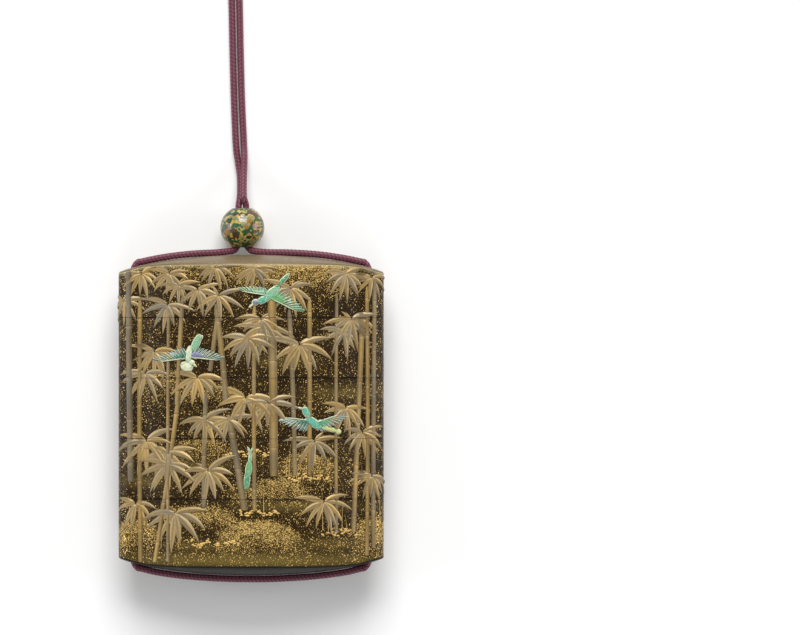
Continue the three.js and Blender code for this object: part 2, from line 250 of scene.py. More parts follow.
def round_from(x):
    """The distance round from the middle of a face to a place x across."""
    low, high = 0.0, HALF_ROUND
    for _ in range(30):
        middle = (low + high) / 2
        low, high = (middle, high) if section_at(middle)[0].x < abs(x) else (low, middle)
    return math.copysign(low, x)


def dome_y(x, z, inset=0.0):
    """Height of the domed end over a place in the section, z from the case's axis."""
    inside = 1 - (x / (DOME_X - inset)) ** 2 - (z / (DOME_Z - inset)) ** 2
    return DOME_Y + (DOME_RISE - inset) * math.sqrt(max(0.0, inside))


def half_lens(x, inset=0.0):
    """Half the depth of the lens at x, set in from its face."""
    return math.sqrt((FACE_RADIUS - inset) ** 2 - x * x) - FACE_DROP


# ---------------------------------------------------------------------------- mesh helpers


def mapped_grid(bm, columns, rows, place):
    """A grid whose points are put where place(u, v) says, for u and v from 0 to 1."""
    made = bmesh.ops.create_grid(bm, x_segments=columns, y_segments=rows, size=0.5)["verts"]
    for vert in made:
        vert.co = place(vert.co.x + 0.5, vert.co.y + 0.5)
    return made


def new_piece(name, bm, materials, sharp_degrees=40):
    """Puts a finished bmesh into an object that rides with the case."""
    mesh = bpy.data.meshes.new(name)
    bm.to_mesh(mesh)
    bm.free()
    for material in materials:
        mesh.materials.append(material)
    for polygon in mesh.polygons:
        polygon.use_smooth = True
    mesh.set_sharp_from_angle(angle=math.radians(sharp_degrees))
    piece = bpy.data.objects.new(name, mesh)
    bpy.context.scene.collection.objects.link(piece)
    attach(piece, "root")
    return piece


def cut(piece, cutter):
    """Cuts one object out of another and removes the cutter."""
    modifier = piece.modifiers.new("cut", "BOOLEAN")
    modifier.operation = "DIFFERENCE"
    modifier.solver = "EXACT"
    modifier.object = cutter
    with bpy.context.temp_override(object=piece, active_object=piece):
        bpy.ops.object.modifier_apply(modifier=modifier.name)
    bpy.data.objects.remove(cutter)


# ---------------------------------------------------------------------------- material helpers


class Shader:
    """A short way to write a material's nodes."""

    def __init__(self, name):
        self.material = bpy.data.materials.new(name)
        self.material.use_nodes = True
        self.tree = self.material.node_tree
        self.tree.nodes.clear()
        self.output = self.tree.nodes.new("ShaderNodeOutputMaterial")
        self.surface = self.tree.nodes.new("ShaderNodeBsdfPrincipled")
        self.link(self.surface.outputs["BSDF"], self.output.inputs["Surface"])
        self.place = self.tree.nodes.new("ShaderNodeTexCoord").outputs["Object"]

    def link(self, output, socket):
        self.tree.links.new(output, socket)

    def feed(self, socket, value):
        if isinstance(value, bpy.types.NodeSocket):
            self.link(value, socket)
        elif isinstance(value, (tuple, list)) and len(value) == 3 and socket.type == "RGBA":
            socket.default_value = (*value, 1)
        else:
            socket.default_value = value

    def set(self, **values):
        for name, value in values.items():
            self.feed(self.surface.inputs[name.replace("_", " ")], value)
        return self

    def math(self, operation, a, b=0.0, clamp=False):
        node = self.tree.nodes.new("ShaderNodeMath")
        node.operation = operation
        node.use_clamp = clamp
        self.feed(node.inputs[0], a)
        self.feed(node.inputs[1], b)
        return node.outputs[0]

    def attribute(self, name, output="Fac"):
        node = self.tree.nodes.new("ShaderNodeAttribute")
        node.attribute_name = name
        return node.outputs[output]

    def noise(self, scale, detail=2.0, roughness=0.5, place=None):
        node = self.tree.nodes.new("ShaderNodeTexNoise")
        self.feed(node.inputs["Vector"], place or self.place)
        node.inputs["Scale"].default_value = scale
        node.inputs["Detail"].default_value = detail
        node.inputs["Roughness"].default_value = roughness
        return node.outputs["Fac"]

    def cells(self, scale, feature="F1", place=None, randomness=1.0):
        node = self.tree.nodes.new("ShaderNodeTexVoronoi")
        node.feature = feature
        self.feed(node.inputs["Vector"], place or self.place)
        node.inputs["Scale"].default_value = scale
        node.inputs["Randomness"].default_value = randomness
        return node.outputs

    def separate(self, colour):
        node = self.tree.nodes.new("ShaderNodeSeparateColor")
        self.feed(node.inputs[0], colour)
        return node.outputs

    def ramp(self, value, stops, interpolation="LINEAR"):
        node = self.tree.nodes.new("ShaderNodeValToRGB")
        node.color_ramp.interpolation = interpolation
        while len(node.color_ramp.elements) < len(stops):
            node.color_ramp.elements.new(0.5)
        for element, (position, colour) in zip(node.color_ramp.elements, stops):
            element.position = position
            element.color = (*colour, 1) if isinstance(colour, (tuple, list)) else (colour,) * 3 + (1,)
        self.feed(node.inputs[0], value)
        return node.outputs[0]

    def spread(self, value, low, high, to_low=0.0, to_high=1.0):
        node = self.tree.nodes.new("ShaderNodeMapRange")
        names = ("Value", "From Min", "From Max", "To Min", "To Max")
        for name, given in zip(names, (value, low, high, to_low, to_high)):
            self.feed(node.inputs[name], given)
        return node.outputs[0]

    def mix(self, factor, a, b, blend="MIX"):
        node = self.tree.nodes.new("ShaderNodeMix")
        node.data_type = "RGBA"
        node.blend_type = blend
        self.feed(node.inputs[0], factor)
        self.feed(node.inputs[6], a)
        self.feed(node.inputs[7], b)
        return node.outputs[2]

    def bump(self, height, strength, distance):
        node = self.tree.nodes.new("ShaderNodeBump")
        node.inputs["Strength"].default_value = strength
        node.inputs["Distance"].default_value = distance
        self.feed(node.inputs["Height"], height)
        self.link(node.outputs[0], self.surface.inputs["Normal"])
        return self


# ---------------------------------------------------------------------------- case pieces

OUTLINE_STEPS = 54  # from one edge of the case to the other
CROWDING = 0.86  # 1 crowds the outline points most towards the two edges
DOME_ROWS = 22
WALL_ROWS = 14
# the thin row next to each seam carries painted shade: a dark line standing in for shade in the groove
# between tiers
SEAM_SHADE_ROW = 0.012  # share of a wall that is kept for the dark line next to a seam


def round_share(index):
    """Where a point of the outline lies: -1 to 1 round the half section, and whether on the upper half."""
    steps = 2 * OUTLINE_STEPS
    index %= steps
    over = index <= OUTLINE_STEPS
    t = index / OUTLINE_STEPS if over else (steps - index) / OUTLINE_STEPS
    return math.sin((t - 0.5) * math.pi * CROWDING) / math.sin(math.pi * CROWDING / 2), over


def outline(index, inset=0.0):
    """A point of the outer section, from the right edge over the front to the left and back underneath."""
    spread, over = round_share(index)
    point, normal = section_at(-spread * HALF_ROUND)
    point = point - normal * inset
    z = point.y if over else -point.y
    return point.x, max(z, inset + BACK_REST - MID)


def cavity_point(index, wall):
    """The matching point of a cavity, which is cut off square short of the channels."""
    x, z = outline(index)
    end = END_BLOCK_X - wall
    edge = half_lens(end, wall)
    if abs(x) <= end:
        return x, math.copysign(half_lens(x, wall), z)
    limit = HALF_ROUND - round_from(end)
    spread, over = round_share(index)
    share = (HALF_ROUND - abs(spread) * HALF_ROUND) / limit
    return math.copysign(end, x), math.copysign(edge * min(share, 1.0), 1 if over else -1)


def tier_span(number):
    """Lowest and highest y of a tier's outer wall; the ends are domed."""
    low = CASE_BOXES[number][0].y - SEAM_LAP
    high = CROWN_Y if number == 0 else CASE_BOXES[number - 1][0].y - SEAM_GAP + SEAM_LAP
    return low, high


def wall_rows(number):
    """The outer wall's rows as (inset, y), from its lower edge to its upper one; y None is the dome."""
    low, high = tier_span(number)
    soft = EDGE_ROUND
    straight_low = low + soft if number < 4 else None
    straight_high = high - soft if number > 0 else None
    rows = []
    if number < 4:
        rows += [(soft, low), (soft * 0.3, low + soft * 0.3)]
    else:
        rows += [(RIM_ROUND * (1 - math.sin(a)), ("bottom", RIM_ROUND * math.cos(a))) for a in rim_turns()]
    near = SEAM_SHADE_ROW
    shares = [0.0, near, *[i / WALL_ROWS for i in range(1, WALL_ROWS)], 1 - near, 1.0]
    rows += [(0.0, ("wall", straight_low, straight_high, share)) for share in shares]
    if number > 0:
        rows += [(soft * 0.3, high - soft * 0.3), (soft, high)]
    else:
        turns = reversed(rim_turns())
        rows += [(RIM_ROUND * (1 - math.sin(a)), ("top", RIM_ROUND * math.cos(a))) for a in turns]
    return rows


def rim_turns():
    return [math.radians(a) for a in (0, 22, 45, 68)]


def row_point(index, inset, y):
    """A point of an outer row: y is a height, or a place worked out from the domes."""
    x, z = outline(index, inset)
    if isinstance(y, (int, float)):
        return Vector((x, y, MID + z))
    edge_x, edge_z = outline(index)
    rim = dome_y(edge_x, edge_z)
    if y[0] == "top":
        return Vector((x, dome_y(x, z) - RIM_ROUND + y[1], MID + z))
    if y[0] == "bottom":
        return Vector((x, -dome_y(x, z) + RIM_ROUND - y[1], MID + z))
    low = -rim + RIM_ROUND if y[1] is None else y[1]
    high = rim - RIM_ROUND if y[2] is None else y[2]
    return Vector((x, low + (high - low) * y[3], MID + z))


def sweep(bm, rows):
    """Rows of points round the case, joined into one skin; a row is a function of the index round it."""
    steps = 2 * OUTLINE_STEPS

    def place(u, v):
        return rows[round(v * (len(rows) - 1))](round(u * steps)) * MM

    return mapped_grid(bm, steps, len(rows) - 1, place)


def dome_cap(bm, end, edge_inset, dome_inset=0.0, cavity=None):
    """A domed end across the whole section, end 1 at the top and -1 at the bottom."""

    def place(u, v):
        index = round(u * OUTLINE_STEPS)
        under = 2 * OUTLINE_STEPS - index
        if cavity is None:
            top, low = outline(index, edge_inset), outline(under, edge_inset)
        else:
            top, low = cavity_point(index, cavity), cavity_point(under, cavity)
        x = top[0]
        z = low[1] + (top[1] - low[1]) * v
        return Vector((x, end * dome_y(x, z, dome_inset), MID + z)) * MM

    return mapped_grid(bm, OUTLINE_STEPS, DOME_ROWS, place)


def cavity_row(wall, y):
    def point(index):
        x, z = cavity_point(index, wall)
        height = dome_y(x, z, LID_WALL) if y is None else y
        return Vector((x, height, MID + z))

    return point


def outer_row(inset, y):
    return lambda index: row_point(index, inset, y)


def channel_cutter():
    """Both cord bores, opening out at their mouths."""
    bm = bmesh.new()
    profile = [
        (0, -MOUTH_END_Y),
        (MOUTH_RADIUS, -MOUTH_END_Y),
        (CHANNEL_RADIUS, -MOUTH_START_Y),
        (CHANNEL_RADIUS, MOUTH_START_Y),
        (MOUTH_RADIUS, MOUTH_END_Y),
        (0, MOUTH_END_Y),
    ]
    for x in (-CHANNEL_X, CHANNEL_X):
        verts = [bm.verts.new(Vector((x + radius, y, MID)) * MM) for radius, y in profile]
        edges = [bm.edges.new(pair) for pair in zip(verts, verts[1:])]
        centre = Vector((x, 0, MID)) * MM
        bmesh.ops.spin(
            bm, geom=verts + edges, cent=centre, axis=(0, 1, 0), angle=2 * math.pi, steps=40, use_merge=True
        )
    bmesh.ops.remove_doubles(bm, verts=bm.verts, dist=1e-6)
    bmesh.ops.recalc_face_normals(bm, faces=bm.faces)
    mesh = bpy.data.meshes.new("channel_cutter")
    bm.to_mesh(mesh)
    bm.free()
    cutter = bpy.data.objects.new("channel_cutter", mesh)
    bpy.context.scene.collection.objects.link(cutter)
    return cutter


def case_shell(number):
    """The mesh of the lid or of one tier, hollow, with its riser and its recess."""
    low, high = tier_span(number)
    bm = bmesh.new()
    rows = []
    if number < 4:
        deep = LID_WALL if number == 0 else SKIRT
        if number == 0:
            rows += [cavity_row(LID_WALL, None), cavity_row(LID_WALL, low + RECESS_HEIGHT)]
        rows += [cavity_row(SKIRT, low + RECESS_HEIGHT), cavity_row(SKIRT, low)]
    rows += [outer_row(inset, y) for inset, y in wall_rows(number)]
    if number > 0:
        inner = SKIRT + FIT + RISER
        floor = BOTTOM_INSIDE if number == 4 else low + RECESS_HEIGHT + FLOOR
        rows += [
            cavity_row(SKIRT + FIT, high),
            cavity_row(SKIRT + FIT, high + RISER_HEIGHT - 0.15),
            cavity_row(SKIRT + FIT + 0.15, high + RISER_HEIGHT),
            cavity_row(inner - 0.15, high + RISER_HEIGHT),
            cavity_row(inner, high + RISER_HEIGHT - 0.15),
            cavity_row(inner, floor),
        ]
    sweep(bm, rows)
    if number == 0:
        dome_cap(bm, 1, rim_inset())
        dome_cap(bm, 1, 0.0, LID_WALL, LID_WALL)
    if number == 4:
        dome_cap(bm, -1, rim_inset())
    bmesh.ops.remove_doubles(bm, verts=bm.verts, dist=2e-6)
    bmesh.ops.holes_fill(bm, edges=[edge for edge in bm.edges if edge.is_boundary])
    bmesh.ops.recalc_face_normals(bm, faces=bm.faces)
    return bm


def rim_inset():
    return RIM_ROUND * (1 - math.sin(rim_turns()[0]))


# ---------------------------------------------------------------------------- gold dust on the ground

# (x, top y, half width, rise, fade, strength) of the misty mounds of gold dust, in each face's own view
FRONT_MOUNDS = (
    (11, 42.5, 19, 3, 6.5, 1.0),
    (-22, 42, 16, 3, 5, 0.5),
    (2.2, -28.6, 12.5, 4.2, 6.5, 1.0),
    (-14, -24.6, 11, 2.6, 4.5, 0.85),
    (-31, -28.5, 7, 3, 7, 0.8),
    (15, -10.5, 9, 3.4, 7, 0.75),
    (5, -17.5, 12, 3, 5.5, 0.75),
    (-13, -6.5, 10, 3, 5, 0.55),
    (33, -28, 6, 3, 9, 0.7),
    (-12, 8.5, 9, 2.5, 4, 0.6),
    (-24, 12, 8, 3, 6, 0.5),
)
BACK_MOUNDS = (
    (4, 42.5, 24, 3, 6, 1.0),
    (28, 41, 9, 3, 7, 0.6),
    (14, -16.5, 12, 3.4, 6, 0.95),
    (-0.5, -27.5, 9, 3.8, 7, 1.0),
    (-20, -31, 10, 3, 6, 0.75),
    (3.5, 3.2, 7, 2.2, 5, 0.8),
    (-14, 0, 8, 2.5, 5, 0.5),
    (28, -28, 9, 3, 7, 0.6),
    (-31, -20, 6, 3, 7, 0.5),
)
# (x, y, half width, half height, strength) of the smooth bands of fine gold mist
FRONT_BANDS = (
    (0, -39.2, 40, 2.0, 0.85),
    (-14, -13.6, 10, 1.4, 0.5),
    (14, -24.6, 16, 1.3, 0.6),
    (26, 6.3, 12, 1.6, 0.5),
    (8, 14.5, 9, 1.5, 0.4),
    (-14, -35.4, 9, 1.6, 0.5),
    (22, -34.8, 12, 1.4, 0.45),
    (-30, -18, 8, 1.8, 0.5),
)
BACK_BANDS = (
    (0, -38.6, 40, 2.2, 0.9),
    (10, 7, 16, 1.3, 0.6),
    (-12, -4.5, 14, 1.4, 0.6),
    (20, -25, 12, 1.4, 0.5),
    (-24, -13, 10, 1.5, 0.45),
)


def mound_dust(x, y, mounds):
    """How thickly gold dust is sprinkled: dense under each mound's top edge and thinning out below it."""
    thick = 0.0
    for centre, top, half, rise, fade, strength in mounds:
        across = (x - centre) / half
        if abs(across) < 1:
            edge = top - rise * across * across + 0.5 * noise.noise(Vector((x * 0.4, y * 0.2, centre)))
            if y < edge:
                falling = math.exp(-(((edge - y) / fade) ** 2))
                thick = max(thick, strength * falling * (1 - across**4))
            else:
                thick = max(thick, strength * (1 - across**4) * math.exp(-((y - edge) / 0.5)) * 0.6)
    return thick


def band_mist(x, y, bands):
    mist = 0.0
    for centre, middle, half_x, half_y, strength in bands:
        reach = ((x - centre) / half_x) ** 2 + ((y - middle) / half_y) ** 2
        mist = max(mist, strength * math.exp(-reach * 1.2))
    return mist


def ground_at(x, y, z):
    """Dust, mist and rim gold at a point of the case, in millimetres."""
    front = z >= MID
    view_x = x if front else -x
    dust = mound_dust(view_x, y, FRONT_MOUNDS if front else BACK_MOUNDS)
    mist = band_mist(view_x, y, FRONT_BANDS if front else BACK_BANDS)
    cloud = 0.5 + 0.5 * noise.noise(Vector((x * 0.09, y * 0.16, z * 0.1)))
    dust = max(dust, 0.03 + 0.13 * cloud)
    edge = dome_y(x, z - MID)
    rim = math.exp(-(((y - edge + 0.2) / 0.36) ** 2)) if y > 0 else 0.0
    return min(dust, 1.0), min(mist + 0.1 * cloud, 1.0), rim


def paint_case(piece, number):
    """Writes the dust, mist and rim amounts, where painted shade darkens the seams, and where each finish
    lies, to the case's mesh.
    """
    mesh = piece.data
    low, high = tier_span(number)
    ground = mesh.attributes.new("ground", "FLOAT_COLOR", "POINT")
    finish = mesh.attributes.new("finish", "FLOAT_COLOR", "POINT")
    for index, vert in enumerate(mesh.vertices):
        x, y, z = vert.co / MM
        dust, mist, rim = ground_at(x, y, z)
        outer_z = section_at(round_from(min(abs(x), HALF_WIDTH)))[0].y
        outside = abs(z - MID) > outer_z - 0.35
        edge = dome_y(x, z - MID)
        on_top = number == 0 and y > edge - 0.3
        below = number == 4 and y < -edge + 0.3
        inside = not outside and not on_top and not below
        # painted shade: the rows next to each seam are marked to be darkened, standing in for shade in the
        # groove between tiers
        near_low = number < 4 and y < low + 1.1 * EDGE_ROUND
        near_high = number > 0 and abs(y - high) < 1.1 * EDGE_ROUND
        seam_shade = float((near_low or near_high) and outside)
        ground.data[index].color = (dust, mist, rim if outside or on_top else 0.0, seam_shade)
        finish.data[index].color = (float(on_top), float(below), float(inside), 1.0)


# ---------------------------------------------------------------------------- the grove in low relief

# (x, y) of the hubs that leaves spread from, then their size, in each face's own view
FRONT_HUBS = (
    (-29.6, 38.3, 1.0), (-22.1, 38.3, 1.0), (-19.6, 35.3, 0.9), (-14.2, 33.9, 1.0), (-8.7, 32.4, 1.1),
    (-22.6, 29.9, 1.1), (-34.5, 30.9, 1.0), (0.9, 39.8, 0.9), (-9.5, 40, 0.9), (10.9, 34.4, 1.1),
    (25.7, 38.3, 1.15), (32.7, 37.3, 0.9), (2.9, 26, 1.0), (27.2, 26, 1.15), (3.4, 23.9, 1.3),
    (25.2, 22.4, 1.0), (-0.5, 20.7, 1.2), (13.3, 19.2, 1.35), (-26.1, 17.2, 1.1), (-28.6, 11.3, 1.15),
    (-14.4, 10.3, 1.2), (-1.3, 4.8, 1.35), (-6, -1.1, 1.1), (-12.4, -1.1, 1.15), (4.9, 3.4, 1.2),
    (25.7, 1.9, 1.1), (17.3, -7, 1.15), (-28.3, -7, 1.3), (-22.4, -10, 1.2), (30.2, -4.6, 1.0),
    (-22.4, -13.3, 1.25), (-11.5, -15, 1.25), (-31.3, -24, 1.0), (-20.4, -26.5, 1.4), (19.8, -23.5, 1.15),
    (32.7, -16.5, 0.95),
)
BACK_HUBS = (
    (-21.3, 36.6, 1.1), (-30.1, 40.3, 1.0), (-10.2, 38.9, 1.0), (-3.1, 36.2, 1.1), (2.3, 31.1, 1.2),
    (17.1, 40.3, 1.0), (27.2, 36.6, 1.1), (-13.5, 25.1, 1.2), (-3.8, 23.2, 1.1), (18.5, 26.4, 1.2),
    (24, 23.7, 1.1), (-30.1, 15.8, 1.1), (3.2, 15.3, 1.2), (-23, 12, 1.2), (-4.2, 9.3, 1.1),
    (8.3, 9.3, 1.2), (-17.6, 10.3, 1.1), (7.3, 5.2, 1.1), (30.9, 9.3, 1.0), (-21.8, -2, 1.2),
    (-24.6, -6.6, 1.1), (-13, -6.6, 1.1), (-8.4, -7.5, 1.1), (22.6, -7.5, 1.25), (-33.4, -19.6, 1.0),
    (-14.4, -23.3, 1.15), (-20.4, -25.6, 1.1), (21.2, -21.9, 1.3), (30, -10.3, 1.1),
)
# (x at the top, top y, x at the foot, foot y, width, warmth) of the culms; warmth 0 is bluish grey
FRONT_CULMS = (
    (-33.2, 42, -32.6, -18, 1.9, 0.1),
    (-30, 33, -29.9, -39.8, 1.5, 0.95),
    (-22.2, 31, -22.4, -39.6, 1.15, 0.55),
    (-18.4, 33, -20, 3, 1.5, 0.75),
    (-19.3, 6.6, -26, -39.7, 1.5, 0.8),
    (-12, 7.5, -12.6, -24.8, 1.45, 0.35),
    (-9.5, 31, -6.6, 4, 1.7, 0.55),
    (-8.3, 31, -10.9, 12, 1.4, 0.5),
    (-6.1, 1, -1.6, -25.6, 2.0, 0.35),
    (1.1, 31.5, 1.1, -25.6, 1.2, 0.85),
    (5.7, 33, 6.3, -16.4, 2.5, 0.75),
    (10.4, 30, 12, -16.2, 1.4, 0.4),
    (15.9, 33, 15.9, -16.2, 1.4, 0.9),
    (23.3, 34, 23.2, -31.6, 1.15, 0.45),
    (30.2, 26, 27.8, -31.6, 1.7, 0.85),
    (31.4, 36, 31.4, -38, 1.2, 0.95),
    (33.6, 40, 33.2, -36, 1.4, 0.3),
)
BACK_CULMS = (
    (-34.4, 41, -33.2, -30, 1.5, 0.2),
    (-31.5, 36, -31.5, -37, 1.2, 0.6),
    (-28.2, 34, -28.2, -39.2, 2.0, 0.95),
    (-22.3, 33, -22.3, -38.7, 1.6, 0.5),
    (-19.4, 34, -21, 4, 1.3, 0.7),
    (-18.3, 8, -18.3, -21.7, 1.4, 0.8),
    (-11.8, 39, -11.8, 24, 1.2, 0.6),
    (-8.4, 36, -8.4, -22.8, 2.3, 0.75),
    (-6.2, 0, -7, -23, 1.5, 0.3),
    (-3.1, 20, -3.1, -24, 1.1, 0.7),
    (6.2, 40, 6.2, 12, 1.4, 0.6),
    (7.6, 2, 9, -14.6, 1.5, 0.35),
    (12.4, 38, 12.4, -14.5, 1.9, 0.75),
    (17.3, 26, 17.3, -15, 1.3, 0.6),
    (25.8, 34, 25.8, -30.2, 2.3, 0.8),
    (32.3, 38, 32.3, -34, 1.2, 0.5),
    (34.6, 30, 34.6, -30, 1.4, 0.95),
)
# (x, y, half width) of the rows of bright gold flakes on the ground
FRONT_ROWS = ((-1, -9.7, 6), (16, -16.6, 6), (2, -26, 5.5), (25, -31.7, 6), (-10, -34.3, 7))
BACK_ROWS = ((-1, -10.2, 5.5), (2.5, -25, 4), (-13, -31.7, 5.5), (18, -16, 4.5), (22, -32.5, 4))
# (x, foot y, height) of the thin blades of grass
FRONT_GRASS = (
    (3.6, -26, 6.5), (10.4, -17, 10), (9.7, -16.5, 6), (19.5, -31, 12), (21, -31.5, 7), (24.7, -31.5, 9),
    (26, -31.8, 5), (35, -31, 11), (34, -31.5, 6), (-8.8, -12.5, 3), (-14.6, -17, 3), (-19.6, -36, 7),
    (-24.3, -36, 5), (12.5, -16.8, 4), (30, -15, 5),
)
BACK_GRASS = (
    (-3.4, -24.5, 7), (1.5, -25, 6), (5, -15, 5), (14.6, -16, 8),
    (20, -31, 9), (23.4, -32, 6), (28.4, -31, 8),
    (-14.6, -31.5, 7), (-17.4, -32, 5), (-25.4, -38, 6), (8.2, -15, 9), (-30, -30, 7),
)
SUNK = -0.07
LEAF_RISE, CULM_RISE, LAYER = 0.13, 0.2, 0.035


class Grove:
    """Collects the grove's leaves, culms, grass and flakes as closed low forms on a flat sheet."""

    def __init__(self, seed):
        self.bm = bmesh.new()
        self.tone = self.bm.verts.layers.float.new("tone")
        self.warm = self.bm.verts.layers.float.new("warm")
        self.random = random.Random(seed)

    def form(self, columns, rows, place, paint):
        """A raised sheet; place gives its points and paint its tone and warmth."""
        made = mapped_grid(self.bm, columns, rows, lambda u, v: Vector((u, v, 0)))
        for vert in made:
            u, v = vert.co.x, vert.co.y
            vert.co = place(u, v)
            vert[self.tone], vert[self.warm] = paint(u, v)

    def leaf(self, hub, turn, length, width, warm, layer):
        """A pointed leaf that arches over and has a light and a dark half."""
        droop = -math.cos(turn) * self.random.uniform(0.3, 0.62)
        bright = self.random.uniform(0.86, 1.08)
        fade = self.random.uniform(0.0, 0.3)

        def path(u):
            bend = turn + droop * (u - 0.25) * 1.6
            return bend

        points = [Vector(hub)]
        for i in range(12):
            bend = path((i + 0.5) / 12)
            points.append(points[-1] + Vector((math.cos(bend), math.sin(bend))) * length / 12)

        def place(u, v):
            here = points[min(round(u * 12), 12)]
            bend = path(u)
            across = Vector((-math.sin(bend), math.cos(bend)))
            full = math.sin(math.pi * u**0.68) ** 0.95 if 0 < u < 1 else 0.0
            spot = here + across * (v - 0.5) * width * full
            ridge = (0, 0.8, 1, 0.8, 0)[round(v * 4)]
            lift = SUNK + (LEAF_RISE * (0.35 + 0.65 * full) - SUNK + layer) * ridge if 0 < u < 1 else SUNK
            return Vector((spot.x, spot.y, lift))

        def paint(u, v):
            half = (0.3, 0.68, 0.5, 0.98, 0.5)[round(v * 4)]
            return bright * half * (1 - fade * u), warm

        self.form(12, 4, place, paint)

    def cluster(self, hub, size, warm):
        """Leaves that spread from one hub, the longest hanging down."""
        x, y = round_from(hub[0]), hub[1]
        count = self.random.randint(7, 9)
        start = self.random.uniform(-200, -186)
        step = (204 + self.random.uniform(-14, 14)) / (count - 1)
        order = list(range(count))
        self.random.shuffle(order)
        for layer, i in enumerate(order):
            turn = math.radians(start + i * step + self.random.uniform(-10, 10))
            length = size * self.random.uniform(5.8, 8.2)
            width = size * self.random.uniform(1.35, 1.75)
            self.leaf((x, y), turn, length, width, warm + self.random.uniform(-0.3, 0.2), layer * LAYER)
        if self.random.random() < 0.4:
            turn = math.radians(self.random.uniform(30, 150))
            self.leaf((x, y), turn, size * 3.4, size * 0.95, warm, 0.0)

    def culm(self, top_x, top_y, foot_x, foot_y, width, warm):
        """A jointed culm: a rounded bar with a ring and a pale band at each node."""
        height = top_y - foot_y
        nodes, at = [], self.random.uniform(3, 9)
        while at < height:
            nodes.append(at)
            at += self.random.uniform(9.5, 14)
        stations = {0.0, height}
        stations.update(i * 1.1 for i in range(1, int(height / 1.1)))
        for node in nodes:
            stations.update(node + step for step in (-0.55, -0.32, -0.12, 0.0, 0.12, 0.3, 0.6))
        stations = sorted(at for at in stations if 0 <= at <= height)
        last = len(stations) - 1
        top, foot = round_from(top_x), round_from(foot_x)
        bow = self.random.uniform(-0.25, 0.25)
        phase = self.random.random() * 6

        def node_form(at):
            near = min((at - node for node in nodes), key=abs, default=9.0)
            return near

        def place(u, v):
            at = stations[round(v * last)]
            share = at / height
            x = top + (foot - top) * share + bow * math.sin(math.pi * share)
            near = node_form(at)
            swell = 1 + 0.16 * math.exp(-((near / 0.3) ** 2))
            half = 0.5 * width * swell
            across = 2 * u - 1
            fading = min(1.0, at / 3.5)
            lift = SUNK + (CULM_RISE + 0.04 * width) * math.sqrt(max(0.0, 1 - across**4)) * fading
            half *= 0.4 + 0.6 * fading
            groove = -0.08 if abs(near - 0.12) < 0.05 else 0.0
            return Vector((x + across * half, top_y - at, lift + (groove if 0 < u < 1 else 0)))

        def paint(u, v):
            at = stations[round(v * last)]
            near = node_form(at)
            # painted shade and highlight across the round culm: darker at both edges and lightest just left
            # of the middle, as if lit from the left
            tone = (0.2, 0.38, 0.56, 0.62, 0.48, 0.3, 0.16)[round(u * 6)]
            tone *= 0.86 + 0.14 * math.sin(at * 0.35 + phase)
            if abs(near - 0.12) < 0.05:
                tone *= 0.35
            elif 0.2 < near < 0.7:
                tone = min(1.0, tone * 1.3)
            return tone, warm + 0.2 * math.sin(at * 0.22 + phase)

        self.form(6, last, place, paint)

    def blade(self, x, foot_y, height):
        """A thin blade of grass that leans a little."""
        lean = self.random.uniform(-0.5, 0.5)
        foot = round_from(x)

        def place(u, v):
            half = 0.17 * (1 - v) ** 0.5
            side = (-1, 0, 1)[round(u * 2)]
            lift = 0.09 if side == 0 and v < 0.99 else SUNK
            return Vector((foot + lean * v * v * 1.5 + side * half, foot_y + v * height, lift))

        self.form(2, 8, place, lambda u, v: (0.95, 0.9))

    def flake(self, x, y, size):
        """A small bright flake, a low uneven lozenge."""
        turn = self.random.uniform(-0.4, 0.4)

        def place(u, v):
            angle = 2 * math.pi * u + turn
            reach = size * v * (1 + 0.25 * math.sin(3 * angle + turn * 9))
            lift = (0.13, 0.11, SUNK)[round(v * 2)]
            return Vector((x + reach * math.cos(angle), y + 0.5 * reach * math.sin(angle), lift))

        self.form(7, 2, place, lambda u, v: (1.25, 1.0))

    def flake_row(self, x, y, half):
        middle = round_from(x)
        for _ in range(int(half * 9)):
            across = self.random.uniform(-1, 1)
            spot = middle + half * across
            rise = 0.55 * math.sin(across * 7 + x) - abs(across) * 0.5
            self.flake(spot, y + rise + self.random.gauss(0, 0.34), self.random.uniform(0.22, 0.62))

    def close(self):
        bmesh.ops.remove_doubles(self.bm, verts=self.bm.verts, dist=1e-4)
        bmesh.ops.dissolve_degenerate(self.bm, edges=self.bm.edges, dist=1e-4)
        bmesh.ops.holes_fill(self.bm, edges=[edge for edge in self.bm.edges if edge.is_boundary])


def grow_grove(seed, culms, hubs, rows, grass):
    """The whole grove of one face, unrolled on a flat sheet in millimetres."""
    grove = Grove(seed)
    for spec in culms:
        grove.culm(*spec)
    for x, foot, height in grass:
        grove.blade(x, foot, height)
    for x, y, half in rows:
        grove.flake_row(x, y, half)
    for x, y, size in hubs:
        warm = 0.55 + 0.3 * noise.noise(Vector((x * 0.08, y * 0.08, seed)))
        grove.cluster((x, y), size, warm)
    grove.close()
    return grove.bm


def wrap(side, s, y, lift):
    """Lays a point of the flat sheet on the front (side 1) or the back (side -1) of the case."""
    point, normal = section_at(s)
    ground = MID + side * point.y
    if side < 0:
        ground = max(ground, BACK_REST)
    z = ground + side * normal.y * lift
    edge = min(y, dome_y(point.x, point.y) - 0.5)
    low = -dome_y(point.x, point.y) + 0.6
    return Vector((side * (point.x + normal.x * lift), max(edge, low), max(z, 0.0))) * MM


